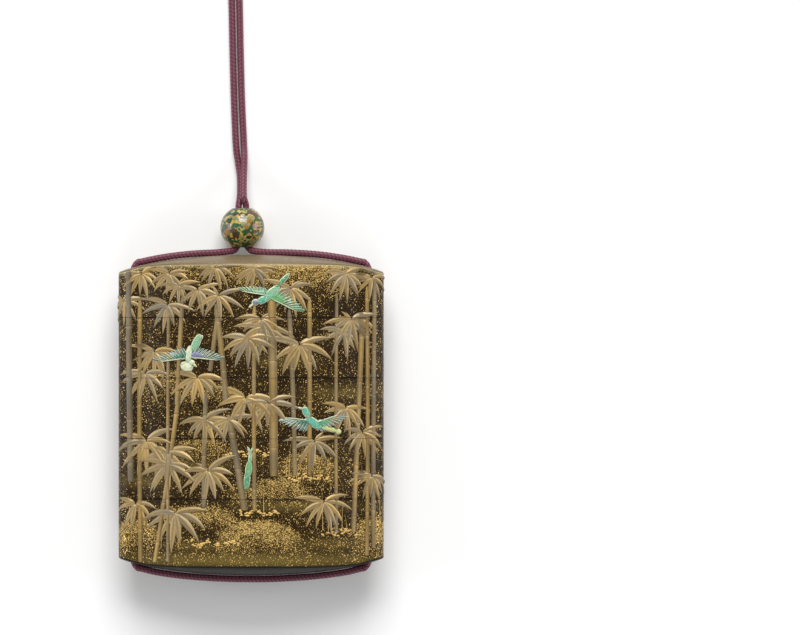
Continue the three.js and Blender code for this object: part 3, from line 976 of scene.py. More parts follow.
def add_relief(bm, sheet, side, number):
    """Adds the part of a flat sheet that lies on one tier, cut clean at the seams."""
    low, high = tier_span(number)
    part = sheet.copy()
    for level, normal in ((high - 0.05, (0, 1, 0)), (low + 0.05, (0, -1, 0))):
        everything = part.verts[:] + part.edges[:] + part.faces[:]
        bmesh.ops.bisect_plane(
            part, geom=everything, dist=1e-4, plane_co=(0, level, 0), plane_no=normal, clear_outer=True
        )
    bmesh.ops.holes_fill(part, edges=[edge for edge in part.edges if edge.is_boundary])
    for vert in part.verts:
        vert.co = wrap(side, *vert.co)
    mesh = bpy.data.meshes.new("relief_part")
    part.to_mesh(mesh)
    part.free()
    bm.from_mesh(mesh)
    bpy.data.meshes.remove(mesh)


# ---------------------------------------------------------------------------- shell inlays

CREAM, PEARL, TEAL, GREEN = (0.72, 0.72, 0.48), (0.55, 0.62, 0.42), (0.07, 0.38, 0.25), (0.04, 0.25, 0.09)
BLUE, VIOLET, YELLOW, CORAL = (0.06, 0.1, 0.17), (0.17, 0.14, 0.32), (0.62, 0.55, 0.11), (0.5, 0.17, 0.1)
DEEP, PALE, LIME, GREY = (0.02, 0.1, 0.07), (0.2, 0.42, 0.22), (0.1, 0.34, 0.08), (0.26, 0.32, 0.38)

# Each inlay as it is seen on its own face: its ovals are (x, y, half length, half width, turn, colour)
# and its wings (root x, root y, tip x, tip y, breadth, side that the feathers lie on, colour, coverts).
INLAYS = {
    "bird_front_lid": (
        1,
        (
            (8.6, 36.4, 2.9, 0.72, 46, GREEN), (8.9, 36.7, 1.9, 0.34, 46, PALE),
            (5.6, 32.9, 3.1, 1.35, 41, PALE),
            (3.2, 31.2, 1.5, 1.05, 32, TEAL), (0.3, 29.8, 1.1, 0.34, 40, CREAM),
            (1.35, 30.6, 1.05, 0.95, 20, VIOLET),
        ),
        ((4.1, 32.6, -2.2, 33.6, 2.3, -1, GREEN, PALE), (5.4, 31.8, 12.0, 28.4, 4.0, 1, GREEN, LIME)),
    ),
    "bird_front_upper": (
        1,
        (
            (-14.7, 19.6, 2.7, 1.15, 64, PALE), (-13.3, 21.0, 0.8, 0.45, 64, CORAL),
            (-16.7, 16.6, 2.4, 1.0, 80, CREAM),
            (-17.4, 13.2, 1.9, 1.35, 160, CREAM), (-15.2, 13.65, 0.9, 0.34, -38, YELLOW),
            (-16.0, 14.3, 0.95, 0.85, 0, CREAM),
        ),
        ((-17.2, 15.6, -24.9, 14.5, 3.3, -1, BLUE, DEEP), (-16.2, 15.8, -9.0, 15.0, 3.3, 1, BLUE, VIOLET)),
    ),
    "bird_front_middle": (
        1,
        (
            (21.6, -3.8, 2.6, 0.7, -14, YELLOW), (23.6, -4.4, 0.95, 0.85, 0, YELLOW),
            (13.7, 1.9, 1.1, 0.34, -18, CREAM),
            (17.1, -2.0, 2.7, 1.2, -38, TEAL), (15.1, 0.9, 1.7, 1.05, -60, TEAL),
        ),
        ((16.0, -1.4, 9.8, -0.6, 3.6, 1, GREY, DEEP), (17.8, -1.9, 24.2, 0.3, 3.4, -1, GREY, GREEN)),
    ),
    "shoot_front": (
        1,
        (
            (-0.95, -17.4, 2.9, 0.95, 86, GREEN), (-0.5, -14.6, 2.7, 1.0, 84, LIME),
            (-0.05, -11.3, 2.2, 0.62, 84, PALE),
            (-0.35, -9.4, 1.1, 0.34, 112, PALE), (0.4, -9.2, 1.1, 0.34, 62, PALE),
        ),
        (),
    ),
    "bird_back_lid": (
        -1,
        (
            (14.9, 32.6, 1.9, 0.8, 12, GREEN), (11.2, 31.0, 2.8, 1.45, 20, CREAM),
            (7.0, 29.9, 0.8, 0.28, 25, CREAM),
            (8.4, 30.4, 1.15, 1.05, 0, GREEN),
        ),
        ((10.2, 31.6, 4.4, 33.0, 2.2, -1, PALE, CREAM), (10.9, 31.9, 13.9, 36.2, 3.0, -1, GREEN, TEAL)),
    ),
    "bird_back_upper": (
        -1,
        (
            (-18.5, 19.3, 2.2, 0.95, -32, PALE), (-20.2, 20.3, 0.9, 0.75, 0, CORAL),
            (-15.3, 16.5, 3.1, 1.4, -35, GREEN),
            (-11.2, 14.05, 1.1, 0.34, -18, CORAL), (-12.4, 14.5, 1.15, 1.0, 0, GREY),
        ),
        ((-15.6, 16.0, -21.9, 14.2, 3.0, -1, GREEN, TEAL), (-14.2, 16.0, -7.2, 14.9, 2.6, 1, GREEN, TEAL)),
    ),
    "bird_back_middle": (
        -1,
        (
            (23.6, 0.2, 2.3, 0.78, -6, GREY), (19.3, 1.0, 3.1, 1.3, -33, CREAM),
            (17.2, 2.9, 1.5, 1.0, -42, GREEN),
            (14.4, 4.15, 1.0, 0.34, 5, CREAM), (15.9, 4.2, 1.2, 1.05, -20, BLUE),
        ),
        ((19.2, 2.0, 26.6, 5.4, 3.4, -1, GREEN, TEAL), (16.6, 0.9, 18.3, -3.8, 3.2, 1, GREEN, TEAL)),
    ),
    "shoot_back_left": (
        -1,
        (
            (-15.55, -18.6, 2.3, 1.0, 84, TEAL), (-15.2, -16.2, 2.3, 0.9, 80, PALE),
            (-14.5, -13.9, 1.6, 0.5, 74, PALE),
            (-14.5, -12.7, 0.8, 0.3, 110, CREAM), (-13.9, -12.8, 0.8, 0.3, 45, CREAM),
        ),
        (),
    ),
    "shoot_back_right": (
        -1,
        (
            (2.35, -18.5, 2.9, 1.35, 90, GREEN), (2.5, -15.2, 3.2, 1.6, 90, TEAL),
            (2.7, -11.5, 2.4, 0.95, 88, DEEP),
            (2.4, -9.2, 1.1, 0.4, 112, GREY), (3.1, -9.1, 1.1, 0.4, 66, GREY),
        ),
        (),
    ),
    "bird_back_bottom": (
        -1,
        (
            (17.2, -31.1, 3.6, 0.8, -5, GREEN), (9.8, -29.6, 3.3, 2.0, -35, TEAL),
            (11.6, -29.4, 4.0, 2.0, -25, TEAL),
            (13.4, -29.2, 2.6, 1.1, -28, DEEP), (14.6, -30.1, 1.6, 0.5, -24, VIOLET),
            (10.2, -28.7, 1.5, 1.2, 10, CORAL),
            (8.2, -26.5, 1.6, 1.2, 95, TEAL), (6.7, -24.8, 1.1, 0.36, -5, CREAM),
            (8.0, -24.9, 1.15, 1.05, 0, TEAL),
        ),
        (),
    ),
}
EDGE_WIDTH = 0.26
LEVEL_RELIEF = 0.6  # nearer the floor than this, layers are flattened in step and keep their order


OVERLAP_REACH = 0.62  # an oval whose middle is this near a larger one stands on it


class Inlay:
    """Builds one figure from overlapping ovals of shell, each with a pale cut edge."""

    def __init__(self, side, seed):
        self.bm = bmesh.new()
        self.tint = self.bm.verts.layers.float_color.new("tint")
        self.side = side
        self.random = random.Random(seed)
        self.step = 0

    def to_case(self, x, y, lift):
        """A point of the figure, in millimetres as seen on its face, on the case."""
        if self.side > 0:
            return Vector((x, y, MID + half_lens(x) + lift)) * MM
        ground = max(MID - half_lens(x), BACK_REST)
        return Vector((-x, y, ground - lift * min(1.0, ground / LEVEL_RELIEF))) * MM

    def oval(self, x, y, half_length, half_width, turn, low, high, colour, rings=3):
        """A domed oval that stands on the lacquer or on what lies under it."""
        c, s = math.cos(math.radians(turn)), math.sin(math.radians(turn))
        segments = 24 if half_length > 1.2 else 14
        made = mapped_grid(self.bm, segments, rings + 1, lambda u, v: Vector((u, v, 0)))
        for vert in made:
            angle = 2 * math.pi * vert.co.x
            ring = round(vert.co.y * (rings + 1))
            reach = min(1.0, ring / rings)
            lift = low if ring > rings else low + (high - low) * math.sqrt(max(0.0, 1 - 0.84 * reach**2.6))
            along, across = half_length * reach * math.cos(angle), half_width * reach * math.sin(angle)
            vert.co = self.to_case(x + along * c - across * s, y + along * s + across * c, lift)
            vert[self.tint] = (*colour, 1)

    def pair(self, x, y, half_length, half_width, turn, base, colour):
        """A pale oval with a coloured one set on it; each lies a touch higher than the one before."""
        base += self.step
        self.step += 0.004
        self.oval(x, y, half_length, half_width, turn, -0.25, base, CREAM, 2)
        inner = (half_length - EDGE_WIDTH, half_width - EDGE_WIDTH)
        if min(inner) > 0.08:
            self.oval(x, y, *inner, turn, base - 0.1, base + 0.12, colour)

    def wing(self, root_x, root_y, tip_x, tip_y, breadth, back, colour, coverts):
        """A wing: dark vanes with pale ribs fanned along its arm, a cream edge and bright coverts."""
        root, tip = Vector((root_x, root_y)), Vector((tip_x, tip_y))
        arm = tip - root
        ahead = arm.normalized()
        across = Vector((-ahead.y, ahead.x)) * back
        count = max(7, round(arm.length * 1.25))

        def feather(share, half, low, high, tint, paired):
            start = root + arm * share * 0.84
            lean = math.radians(74 - 56 * share)
            way = ahead * math.cos(lean) + across * math.sin(lean)
            length = breadth * (1.0 - 0.35 * share) + arm.length * 0.2 * share
            middle = start + way * length / 2
            turn = math.degrees(math.atan2(way.y, way.x))
            if paired:
                self.pair(middle.x, middle.y, length / 2, half, turn, low, tint)
            else:
                self.oval(middle.x, middle.y, length / 2, half, turn, low, high, tint, 2)

        for i in range(count):
            share = i / (count - 1)
            shade = self.random.uniform(0.5, 0.95)
            feather(share, 0.52, 0.12, 0, tuple(part * shade for part in colour), True)
        for i in range(count):
            feather((i + 0.5) / count, 0.1, 0.15, 0.36 + self.step, PEARL, False)
        turn = math.degrees(math.atan2(ahead.y, ahead.x))
        for share, half, width, tint in ((0.3, 0.3, 0.24, coverts), (0.16, 0.17, 0.36, coverts)):
            spot = root + arm * share + across * breadth * 0.22
            self.pair(spot.x, spot.y, arm.length * half, breadth * width, turn, 0.22, tint)
        edge = root + arm * 0.5 - across * 0.04
        self.oval(edge.x, edge.y, arm.length * 0.53, 0.15, turn, 0.1, 0.44 + self.step, CREAM, 2)

    def barbs(self, x, y, half_length, half_width, turn):
        """Pale slanting strokes over an oval, like the overlaps of a sheath or of small feathers."""
        c, s = math.cos(math.radians(turn)), math.sin(math.radians(turn))
        side = 1
        for i in range(max(2, round(half_length * 1.5))):
            along = half_length * (0.7 - 1.4 * i / max(1, round(half_length * 1.5) - 1))
            here = (x + along * c - side * 0.2 * half_width * -s, y + along * s - side * 0.2 * half_width * c)
            high = 0.43 + self.step
            self.oval(*here, half_width * 0.72, 0.07, turn + side * 38, high - 0.15, high, PEARL, 2)
            side = -side

    def finish(self):
        bmesh.ops.remove_doubles(self.bm, verts=self.bm.verts, dist=1e-7)
        bmesh.ops.dissolve_degenerate(self.bm, edges=self.bm.edges, dist=1e-7)
        bmesh.ops.holes_fill(self.bm, edges=[edge for edge in self.bm.edges if edge.is_boundary])
        bmesh.ops.recalc_face_normals(self.bm, faces=self.bm.faces)
        return self.bm


def build_inlay(name):
    side, ovals, wings = INLAYS[name]
    figure = Inlay(side, name)
    for wing in wings:
        figure.wing(*wing)
    laid = []
    for x, y, half_length, half_width, turn, colour in ovals:
        on_top = any(
            math.hypot(x - u, y - v) < OVERLAP_REACH * reach and reach > half_length for u, v, reach in laid
        )
        laid.append((x, y, half_length))
        figure.pair(x, y, half_length, half_width, turn, 0.35 if on_top else 0.24, colour)
        if half_width > 0.5 and half_length > 1.25:
            figure.barbs(x, y, half_length, half_width, turn)
    return figure.finish()


# ---------------------------------------------------------------------------- cord, bead and knot


def smooth_route(points, step):
    """A Catmull-Rom path through the points, with even steps, in millimetres."""
    points = [Vector(point) for point in points]
    ends = [points[0] * 2 - points[1], *points, points[-1] * 2 - points[-2]]
    fine = []
    for a, b, c, d in zip(ends, ends[1:], ends[2:], ends[3:]):
        for i in range(40):
            t = i / 40
            square, cube = 2 * a - 5 * b + 4 * c - d, 3 * b - a - 3 * c + d
            fine.append(0.5 * (2 * b + (c - a) * t + square * t * t + cube * t**3))
    fine.append(points[-1])
    lengths = [0.0]
    for a, b in zip(fine, fine[1:]):
        lengths.append(lengths[-1] + (b - a).length)
    count = max(2, round(lengths[-1] / step))
    path, k = [], 0
    for i in range(count + 1):
        at = lengths[-1] * i / count
        while k < len(fine) - 2 and lengths[k + 1] < at:
            k += 1
        share = (at - lengths[k]) / max(lengths[k + 1] - lengths[k], 1e-9)
        path.append(fine[k].lerp(fine[k + 1], share))
    return path, lengths[-1]


SETTLE_X, SETTLE_OVER, SETTLE_Z = 29.8, 1.6, 2.0  # the stretches that lie on a dome
SETTLE_DROP = 0.26


def settled(route):
    """The route with its stretches over the domed ends eased down until the silk lies on the lacquer."""
    eased = []
    for x, y, z in route:
        over = abs(y) - dome_y(x, z - MID)
        on_dome = abs(x) < SETTLE_X and over < SETTLE_OVER and abs(z - MID) < SETTLE_Z
        down = SETTLE_DROP if on_dome else 0.0
        eased.append((x, y - math.copysign(down, y), z))
    return eased


BRAID_COLUMNS, SAMPLES = 6, 6
STITCH = 1.05


def braid(bm, path, radius, step):
    """A round braid of slanted stitches along a path; the depth between strands goes to an attribute."""
    strand = bm.verts.layers.float.new("strand")
    around = BRAID_COLUMNS * SAMPLES
    last = len(path) - 1
    tangents = [(path[min(i + 1, last)] - path[max(i - 1, 0)]).normalized() for i in range(last + 1)]
    up = Vector((0, 0, 1)) if abs(tangents[0].z) < 0.9 else Vector((1, 0, 0))
    frames = []
    for tangent in tangents:
        up = (up - tangent * up.dot(tangent)).normalized()
        frames.append((up.copy(), tangent.cross(up)))
    made = mapped_grid(bm, around, last, lambda u, v: Vector((u, v, 0)))
    for vert in made:
        i, j = round(vert.co.y * last), round(vert.co.x * around)
        column, share = divmod(j / SAMPLES, 1.0)
        slant = 0.5 if column % 2 else -0.5
        phase = i * step / STITCH + slant * (share - 0.5) * 1.5 + 0.25 * (column % 2)
        stitch = abs(math.sin(math.pi * phase)) ** 0.6
        valley = abs(math.sin(math.pi * share)) ** 0.4 if share > 0.01 else 0.0
        height = 0.25 + 0.75 * stitch * (0.35 + 0.65 * valley)
        angle = 2 * math.pi * j / around
        normal, binormal = frames[i]
        reach = radius * (0.88 + 0.15 * height)
        vert.co = (path[i] + (normal * math.cos(angle) + binormal * math.sin(angle)) * reach) * MM
        vert[strand] = height
    bmesh.ops.remove_doubles(bm, verts=made, dist=1e-8)
    bmesh.ops.holes_fill(bm, edges=[edge for edge in bm.edges if edge.is_boundary])
    bmesh.ops.recalc_face_normals(bm, faces=bm.faces)


def bead_profile():
    """Radius and height along the cord of the bead's wall, in millimetres, with its centre at zero."""
    radius, bore, mouth, depth = 6.0, 2.3, 2.8, 1.2
    edge = math.sqrt(radius**2 - mouth**2)
    profile = []
    for i in range(33):
        angle = -math.acos(mouth / radius) + 2 * math.acos(mouth / radius) * i / 32
        profile.append((radius * math.cos(angle), radius * math.sin(angle)))
    turns = (0.5, 1.0, 1.57)
    inner = [(mouth - (mouth - bore) * (1 - math.cos(t)), edge - depth * math.sin(t)) for t in turns]
    return profile + inner + [(r, -y) for r, y in reversed(inner)]


def knot_path():
    """A closed trefoil, wound flat inside the knot's own box."""
    low, high = (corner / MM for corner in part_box("cord_knot"))
    centre, half = (low + high) / 2, (high - low) / 2
    loops = []
    for i in range(90):
        t = 2 * math.pi * i / 90
        wave = 0.62 + 0.38 * math.cos(1.5 * 2 * t)
        across = half.x * 0.74 * (math.sin(t) + 1.1 * math.sin(2 * t)) / 1.75
        along = half.y * 0.74 * (math.cos(t) - 1.1 * math.cos(2 * t)) / 1.85
        loops.append(centre + Vector((across, along, (half.z - CORD_RADIUS) * -math.sin(3 * t) * wave)))
    return [*loops, loops[0]]


# ---------------------------------------------------------------------------- materials


def lacquer_material(case):
    """Dark lacquer with gold dust of several sizes, soft gold mist, a gold rim, a plain underside and painted
    shade along the seams.
    """
    m = Shader("gold_sprinkled_lacquer")
    parts = m.separate(m.attribute("ground", "Color"))
    dust, mist, rim = parts[0], parts[1], parts[2]
    seam_shade = m.attribute("ground", "Alpha")
    places = m.separate(m.attribute("finish", "Color"))
    top, below = places[0], places[1]
    patch = m.spread(m.noise(520, 3, 0.6), 0.3, 0.7, 0.45, 1.35)
    wanted = m.math("MULTIPLY", dust, patch)
    masks = []
    for scale, share, size in ((2400, 0.95, 0.36), (3700, 0.95, 0.36), (7200, 0.8, 0.42)):
        cells = m.cells(scale)
        chance = m.separate(cells["Color"])[0]
        chosen = m.math("LESS_THAN", chance, m.math("MULTIPLY", wanted, share))
        near = m.math("LESS_THAN", cells["Distance"], size)
        masks.append(m.math("MULTIPLY", chosen, near))
    flakes = m.math("MAXIMUM", m.math("MAXIMUM", masks[0], masks[1]), masks[2])
    powder = m.spread(m.noise(15000, 1, 0.5), 0.35, 0.65)
    gold_shift = m.spread(m.noise(2600, 2, 0.5), 0.32, 0.68)
    brown = m.mix(m.spread(m.noise(300, 3, 0.6), 0.3, 0.7), tuple(case.ground), (0.017, 0.0085, 0.003))
    warm_glow = m.math("MULTIPLY", dust, m.spread(powder, 0, 1, 0.05, 0.6), True)
    glowing = m.mix(warm_glow, brown, (0.15, 0.085, 0.02))
    mist_grain = m.math("MULTIPLY", mist, m.spread(powder, 0, 1, 0.4, 1.0), True)
    misted = m.mix(mist_grain, glowing, tuple(case.haze))
    bright = m.mix(gold_shift, tuple(case.dust), tuple(min(1, part * 1.35) for part in case.dust))
    colour = m.mix(flakes, misted, bright)
    rim_gold = (0.8, 0.68, 0.4)
    colour = m.mix(m.math("MULTIPLY", rim, m.spread(powder, 0, 1, 0.6, 1.0), True), colour, rim_gold)
    fine = m.spread(m.math("MULTIPLY", powder, m.spread(m.noise(5000, 2, 0.6), 0.3, 0.7, 0.4, 1.0)), 0.2, 0.8)
    colour = m.mix(top, colour, m.mix(fine, (0.13, 0.095, 0.05), (0.29, 0.22, 0.13)))
    worn = m.spread(m.noise(260, 4, 0.6), 0.3, 0.7, 0.75, 1.15)
    colour = m.mix(below, colour, m.mix(worn, (0, 0, 0), tuple(case.underside)))
    # painted shade: near black along the seams, standing in for shade in the groove between tiers
    colour = m.mix(m.math("MULTIPLY", seam_shade, 0.8), colour, (0.006, 0.004, 0.002))
    metal = m.math("MULTIPLY", m.math("MAXIMUM", flakes, rim), m.math("SUBTRACT", 1.0, below))
    rough = m.spread(m.noise(420, 3, 0.6), 0.3, 0.7, 0.26, 0.36)
    m.set(Base_Color=colour, Metallic=m.math("MULTIPLY", metal, 0.3), Roughness=rough)
    m.set(Specular_IOR_Level=m.spread(below, 0, 1, 0.1, 0.05))
    return m.bump(m.math("ADD", m.math("MULTIPLY", flakes, 0.6), powder), 0.2, 0.00002).material


def relief_material(case):
    """Polished gold powder that passes from warm gold to silver grey."""
    m = Shader("gold_relief")
    tone, warm = m.attribute("tone"), m.attribute("warm")
    drift = m.spread(m.noise(160, 3, 0.6), 0.3, 0.7, -0.18, 0.18)
    hue = m.mix(m.math("ADD", warm, drift, True), tuple(case.silver), tuple(case.gold))
    grain = m.spread(m.noise(11000, 2, 0.6), 0.3, 0.7, 0.86, 1.1)
    wear = m.spread(m.noise(1100, 4, 0.65), 0.32, 0.68, 0.88, 1.08)
    # tone darkens the gold towards near black; on the culms it carries painted shade and highlight across the
    # round bar
    strength = m.math("MULTIPLY", m.math("MULTIPLY", tone, grain), wear)
    colour = m.mix(m.math("MULTIPLY", strength, 1.0, True), (0.02, 0.012, 0.005), hue)
    m.set(Base_Color=colour, Metallic=0.2, Roughness=m.spread(m.noise(5000, 2, 0.5), 0.3, 0.7, 0.36, 0.5))
    m.set(Specular_IOR_Level=0.4, Coat_Weight=0.08, Coat_Roughness=0.2)
    return m.bump(m.noise(14000, 2, 0.6), 0.2, 0.00003).material


def shell_material():
    """Green and blue shell whose colour drifts under a polished surface."""
    m = Shader("polished_shell")
    tint = m.attribute("tint", "Color")
    drift = m.spread(m.noise(560, 3, 0.6), 0.35, 0.65)
    fibres = m.noise(3000, 2, 0.7)
    shifted = m.mix(m.spread(drift, 0, 1, 0.0, 0.3), tint, (0.16, 0.42, 0.36))
    light = m.mix(m.spread(fibres, 0.5, 0.75, 0.0, 0.3), shifted, (0.6, 0.72, 0.55))
    shade = m.mix(m.spread(fibres, 0.25, 0.48, 0.45, 0.0), light, (0.02, 0.05, 0.035))
    m.set(Base_Color=shade, Roughness=0.25, Specular_IOR_Level=0.5, Coat_Weight=0.4, Coat_Roughness=0.08)
    return m.bump(fibres, 0.2, 0.00004).material


def silk_material(cord):
    """Braided silk, with painted highlight on the raised strands and painted shade, deep red, between them.
    """
    m = Shader("braided_silk")
    strand = m.attribute("strand")
    thread = m.noise(9000, 2, 0.7)
    worn = m.spread(m.noise(700, 3, 0.6), 0.3, 0.7, 0.75, 1.2)
    # painted highlight on the strand tops and painted shade in the gaps, both following the braid's modelled
    # depth
    lit = m.mix(m.spread(strand, 0.72, 1.0), tuple(cord.silk), (0.26, 0.07, 0.11))
    shade = m.mix(m.spread(strand, 0.3, 0.72), tuple(cord.shade), lit)
    colour = m.mix(m.spread(thread, 0.3, 0.7, 0.0, 0.3), shade, m.mix(worn, (0, 0, 0), lit))
    m.set(Base_Color=colour, Roughness=0.62)
    m.set(Sheen_Weight=0.15, Sheen_Roughness=0.4, Sheen_Tint=(0.8, 0.5, 0.55))
    return m.bump(thread, 0.35, 0.00006).material


def mosaic_material():
    """Glazed chips of green, cream, ochre and brown under a clear polish."""
    m = Shader("glazed_mosaic")
    warp = m.tree.nodes.new("ShaderNodeVectorMath")
    warp.operation = "ADD"
    wobble = m.tree.nodes.new("ShaderNodeTexNoise")
    wobble.inputs["Scale"].default_value = 520
    m.link(m.place, wobble.inputs["Vector"])
    shrink = m.tree.nodes.new("ShaderNodeVectorMath")
    shrink.operation = "SCALE"
    shrink.inputs["Scale"].default_value = 0.0012
    m.link(wobble.outputs["Color"], shrink.inputs[0])
    m.link(m.place, warp.inputs[0])
    m.link(shrink.outputs[0], warp.inputs[1])
    cells = m.cells(620, place=warp.outputs[0])
    pick = m.separate(cells["Color"])
    chips = m.ramp(
        pick[0],
        (
            (0.0, (0.015, 0.035, 0.012)), (0.2, (0.016, 0.075, 0.022)), (0.38, (0.035, 0.11, 0.045)),
            (0.52, (0.22, 0.21, 0.08)), (0.64, (0.3, 0.15, 0.02)), (0.76, (0.07, 0.025, 0.01)),
            (0.86, (0.15, 0.045, 0.012)), (0.94, (0.32, 0.27, 0.13)),
        ),
        "CONSTANT",
    )
    away = cells["Distance"]
    ring = m.math("MULTIPLY", m.math("GREATER_THAN", away, 0.3), m.math("LESS_THAN", away, 0.46))
    ringed = m.mix(m.math("MULTIPLY", ring, m.math("GREATER_THAN", pick[1], 0.62)), chips, (0.42, 0.34, 0.14))
    small = m.cells(1500, place=warp.outputs[0])
    speck = m.math("GREATER_THAN", m.separate(small["Color"])[0], 0.86)
    colour = m.mix(speck, ringed, (0.5, 0.36, 0.06))
    veins = m.spread(m.noise(1200, 4, 0.6), 0.3, 0.7, 0.7, 1.15)
    m.set(Base_Color=m.mix(veins, (0, 0, 0), colour), Roughness=0.26, Coat_Weight=0.35, Coat_Roughness=0.05)
    return m.material


def floor_material(stage):
    m = Shader("plain_floor")
    tone = m.spread(m.noise(3, 2, 0.5), 0.3, 0.7, 0.985, 1.0)
    m.set(Base_Color=m.mix(tone, (0, 0, 0), tuple(stage.floor)), Roughness=0.8)
    return m.material


# ---------------------------------------------------------------------------- operators


class INRO_OT_stage(bpy.types.Operator):
    """Lays the floor, hangs the soft lights and sets the camera."""

    bl_idname = "inro.stage"
    bl_label = "Stage"

    def execute(self, context):
        stage = context.scene.inro_stage
        bm = bmesh.new()
        bmesh.ops.create_grid(bm, x_segments=8, y_segments=8, size=1.5)
        mesh = bpy.data.meshes.new("floor")
        bm.to_mesh(mesh)
        bm.free()
        mesh.materials.append(floor_material(stage))
        floor = bpy.data.objects.new("floor", mesh)
        context.scene.collection.objects.link(floor)
        self.light("far_edge", (0.05, 1.5, 1.25), 1.3, 44)
        self.light("near_edge", (0.05, -1.7, 1.5), 0.9, 9)
        self.light("left_side", (-1.8, 0.2, 0.62), 0.9, 12)
        self.light("right_side", (1.9, 0.2, 0.62), 0.9, 12)
        world = bpy.data.worlds.new("soft_room")
        world.use_nodes = True
        world.node_tree.nodes["Background"].inputs["Color"].default_value = (1, 1, 1, 1)
        world.node_tree.nodes["Background"].inputs["Strength"].default_value = 0.28
        context.scene.world = world
        context.scene.view_settings.view_transform = "Standard"
        self.camera(context, stage)
        return {"FINISHED"}

    @staticmethod
    def light(name, place, size, power):
        data = bpy.data.lights.new(name, "AREA")
        data.shape = "SQUARE"
        data.size = size
        data.energy = power
        lamp = bpy.data.objects.new(name, data)
        lamp.location = place
        lamp.rotation_euler = (-Vector(place)).to_track_quat("-Z", "Y").to_euler()
        bpy.context.scene.collection.objects.link(lamp)

    @staticmethod
    def camera(context, stage):
        data = bpy.data.cameras.new("camera")
        data.lens = stage.focal_length
        data.sensor_width = 36
        data.clip_end = 20
        camera = bpy.data.objects.new("camera", data)
        camera.location = (0.0404, 0.0265, 2.5)
        context.scene.collection.objects.link(camera)
        context.scene.camera = camera


class INRO_OT_cords(bpy.types.Operator):
    """Braids the cord that runs through the case's sides, through the bead and up to its knot."""

    bl_idname = "inro.cords"
    bl_label = "Cord"

    def execute(self, context):
        cord = context.scene.inro_cord
        silk = silk_material(cord)
        radius = cord.diameter / 2 / MM
        for name, route, step in (("cord_left", LEFT_ROUTE, 0.16), ("cord_right", RIGHT_ROUTE, 0.16)):
            path, length = smooth_route(settled(route), step)
            piece = self.strand(f"{name}_braid", path, radius, step, silk)
            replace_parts(piece, name)
            tuple(Vector(route[0]) * MM)
            [tuple(point * MM) for point in path]
        path, _ = smooth_route(settled(UNDER_ROUTE), 0.22)
        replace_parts(self.strand("cord_under_braid", path, radius, 0.22, silk), "cord_under")
        path, _ = smooth_route(knot_path(), 0.2)
        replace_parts(self.strand("cord_knot_braid", path, radius * 0.98, 0.2, silk), "cord_knot")
        return {"FINISHED"}

    @staticmethod
    def strand(name, path, radius, step, silk):
        bm = bmesh.new()
        braid(bm, path, radius, step)
        piece = new_piece(name, bm, [silk], 80)
        return piece


class INRO_OT_case(bpy.types.Operator):
    """Turns the lid and the four tiers, hollow and domed, and cuts the cord's channels."""

    bl_idname = "inro.case"
    bl_label = "Case"

    def execute(self, context):
        lacquer = lacquer_material(context.scene.inro_case)
        for number, name in enumerate(CASE_NODES):
            piece = new_piece(f"{name}_shell", case_shell(number), [lacquer], 32)
            cut(piece, channel_cutter())
            paint_case(piece, number)
            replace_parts(piece, name)
        return {"FINISHED"}


class INRO_OT_grove(bpy.types.Operator):
    """Grows the bamboo grove on both faces in low gold relief, parted at the seams."""

    bl_idname = "inro.grove"
    bl_label = "Bamboo grove"

    def execute(self, context):
        gold = relief_material(context.scene.inro_case)
        front = grow_grove(11, FRONT_CULMS, FRONT_HUBS, FRONT_ROWS, FRONT_GRASS)
        back = grow_grove(23, BACK_CULMS, BACK_HUBS, BACK_ROWS, BACK_GRASS)
        for number, name in enumerate(CASE_NODES):
            bm = bmesh.new()
            for layer in ("tone", "warm"):
                bm.verts.layers.float.new(layer)
            add_relief(bm, front, 1, number)
            add_relief(bm, back, -1, number)
            bmesh.ops.dissolve_degenerate(bm, edges=bm.edges, dist=1e-8)
            bmesh.ops.recalc_face_normals(bm, faces=bm.faces)
            piece = new_piece(f"{name}_grove", bm, [gold], 50)
        front.free()
        back.free()
        return {"FINISHED"}


class INRO_OT_inlays(bpy.types.Operator):
    """Sets the birds and the young shoots in polished shell."""

    bl_idname = "inro.inlays"
    bl_label = "Shell inlays"

    def execute(self, context):
        shell = shell_material()
        for name in INLAYS:
            piece = new_piece(f"{name}_shell", build_inlay(name), [shell], 60)
            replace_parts(piece, name)
        return {"FINISHED"}


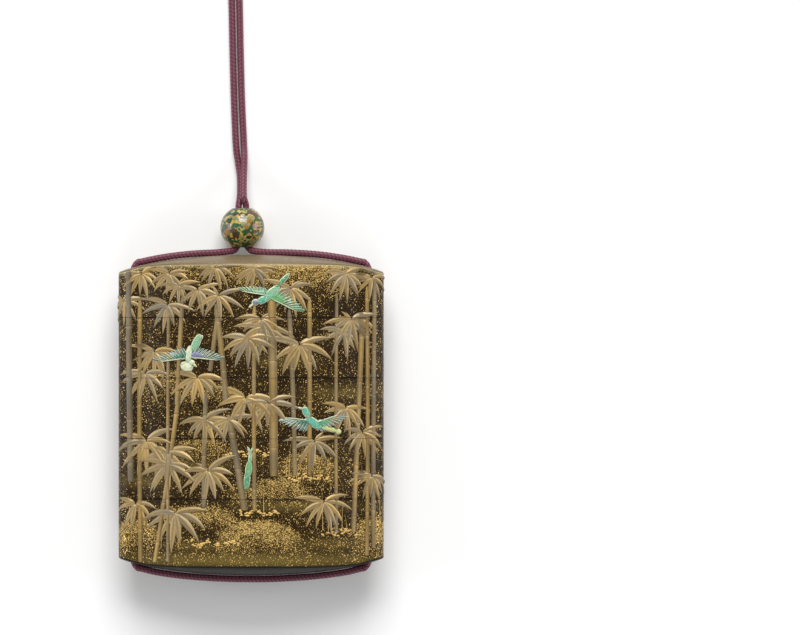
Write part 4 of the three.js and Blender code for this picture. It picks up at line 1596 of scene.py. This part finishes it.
class INRO_OT_bead(bpy.types.Operator):
    """Turns the bead that slides on the cord."""

    bl_idname = "inro.bead"
    bl_label = "Sliding bead"

    def execute(self, context):
        low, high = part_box("ojime_bead")
        centre = (low + high) / 2
        bm = bmesh.new()
        verts = [bm.verts.new(centre + Vector((radius, y, 0)) * MM) for radius, y in bead_profile()]
        edges = [bm.edges.new(pair) for pair in zip(verts, verts[1:] + verts[:1])]
        bmesh.ops.spin(
            bm, geom=verts + edges, cent=centre, axis=(0, 1, 0), angle=2 * math.pi, steps=72, use_merge=True
        )
        bmesh.ops.remove_doubles(bm, verts=bm.verts, dist=1e-7)
        bmesh.ops.recalc_face_normals(bm, faces=bm.faces)
        piece = new_piece("ojime_bead_mosaic", bm, [mosaic_material()], 40)
        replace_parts(piece, "ojime_bead")
        return {"FINISHED"}


class INRO_PT_panel(bpy.types.Panel):
    """Lists the steps that build the case."""

    bl_idname = "INRO_PT_panel"
    bl_label = "Inro case"
    bl_space_type = "VIEW_3D"
    bl_region_type = "UI"
    bl_category = "Inro"

    def draw(self, context):
        for group in ("inro_case", "inro_cord", "inro_stage"):
            holder = getattr(context.scene, group)
            for name in holder.bl_rna.properties.keys():
                if name not in ("rna_type", "name"):
                    self.layout.prop(holder, name)
        for operator in OPERATORS:
            self.layout.operator(operator.bl_idname)


OPERATORS = (INRO_OT_stage, INRO_OT_cords, INRO_OT_case, INRO_OT_grove, INRO_OT_inlays, INRO_OT_bead)
CLASSES = (InroCaseSettings, InroCordSettings, InroStageSettings, *OPERATORS, INRO_PT_panel)


def register():
    for cls in CLASSES:
        bpy.utils.register_class(cls)
    bpy.types.Scene.inro_case = bpy.props.PointerProperty(type=InroCaseSettings)
    bpy.types.Scene.inro_cord = bpy.props.PointerProperty(type=InroCordSettings)
    bpy.types.Scene.inro_stage = bpy.props.PointerProperty(type=InroStageSettings)


def unregister():
    del bpy.types.Scene.inro_stage
    del bpy.types.Scene.inro_cord
    del bpy.types.Scene.inro_case
    for cls in reversed(CLASSES):
        bpy.utils.unregister_class(cls)


def main():
    """Builds every piece in order."""
    register()
    bpy.ops.inro.stage()
    bpy.ops.inro.cords()
    bpy.ops.inro.case()
    bpy.ops.inro.grove()
    bpy.ops.inro.inlays()
    bpy.ops.inro.bead()


if __name__ == "__main__":
    main()
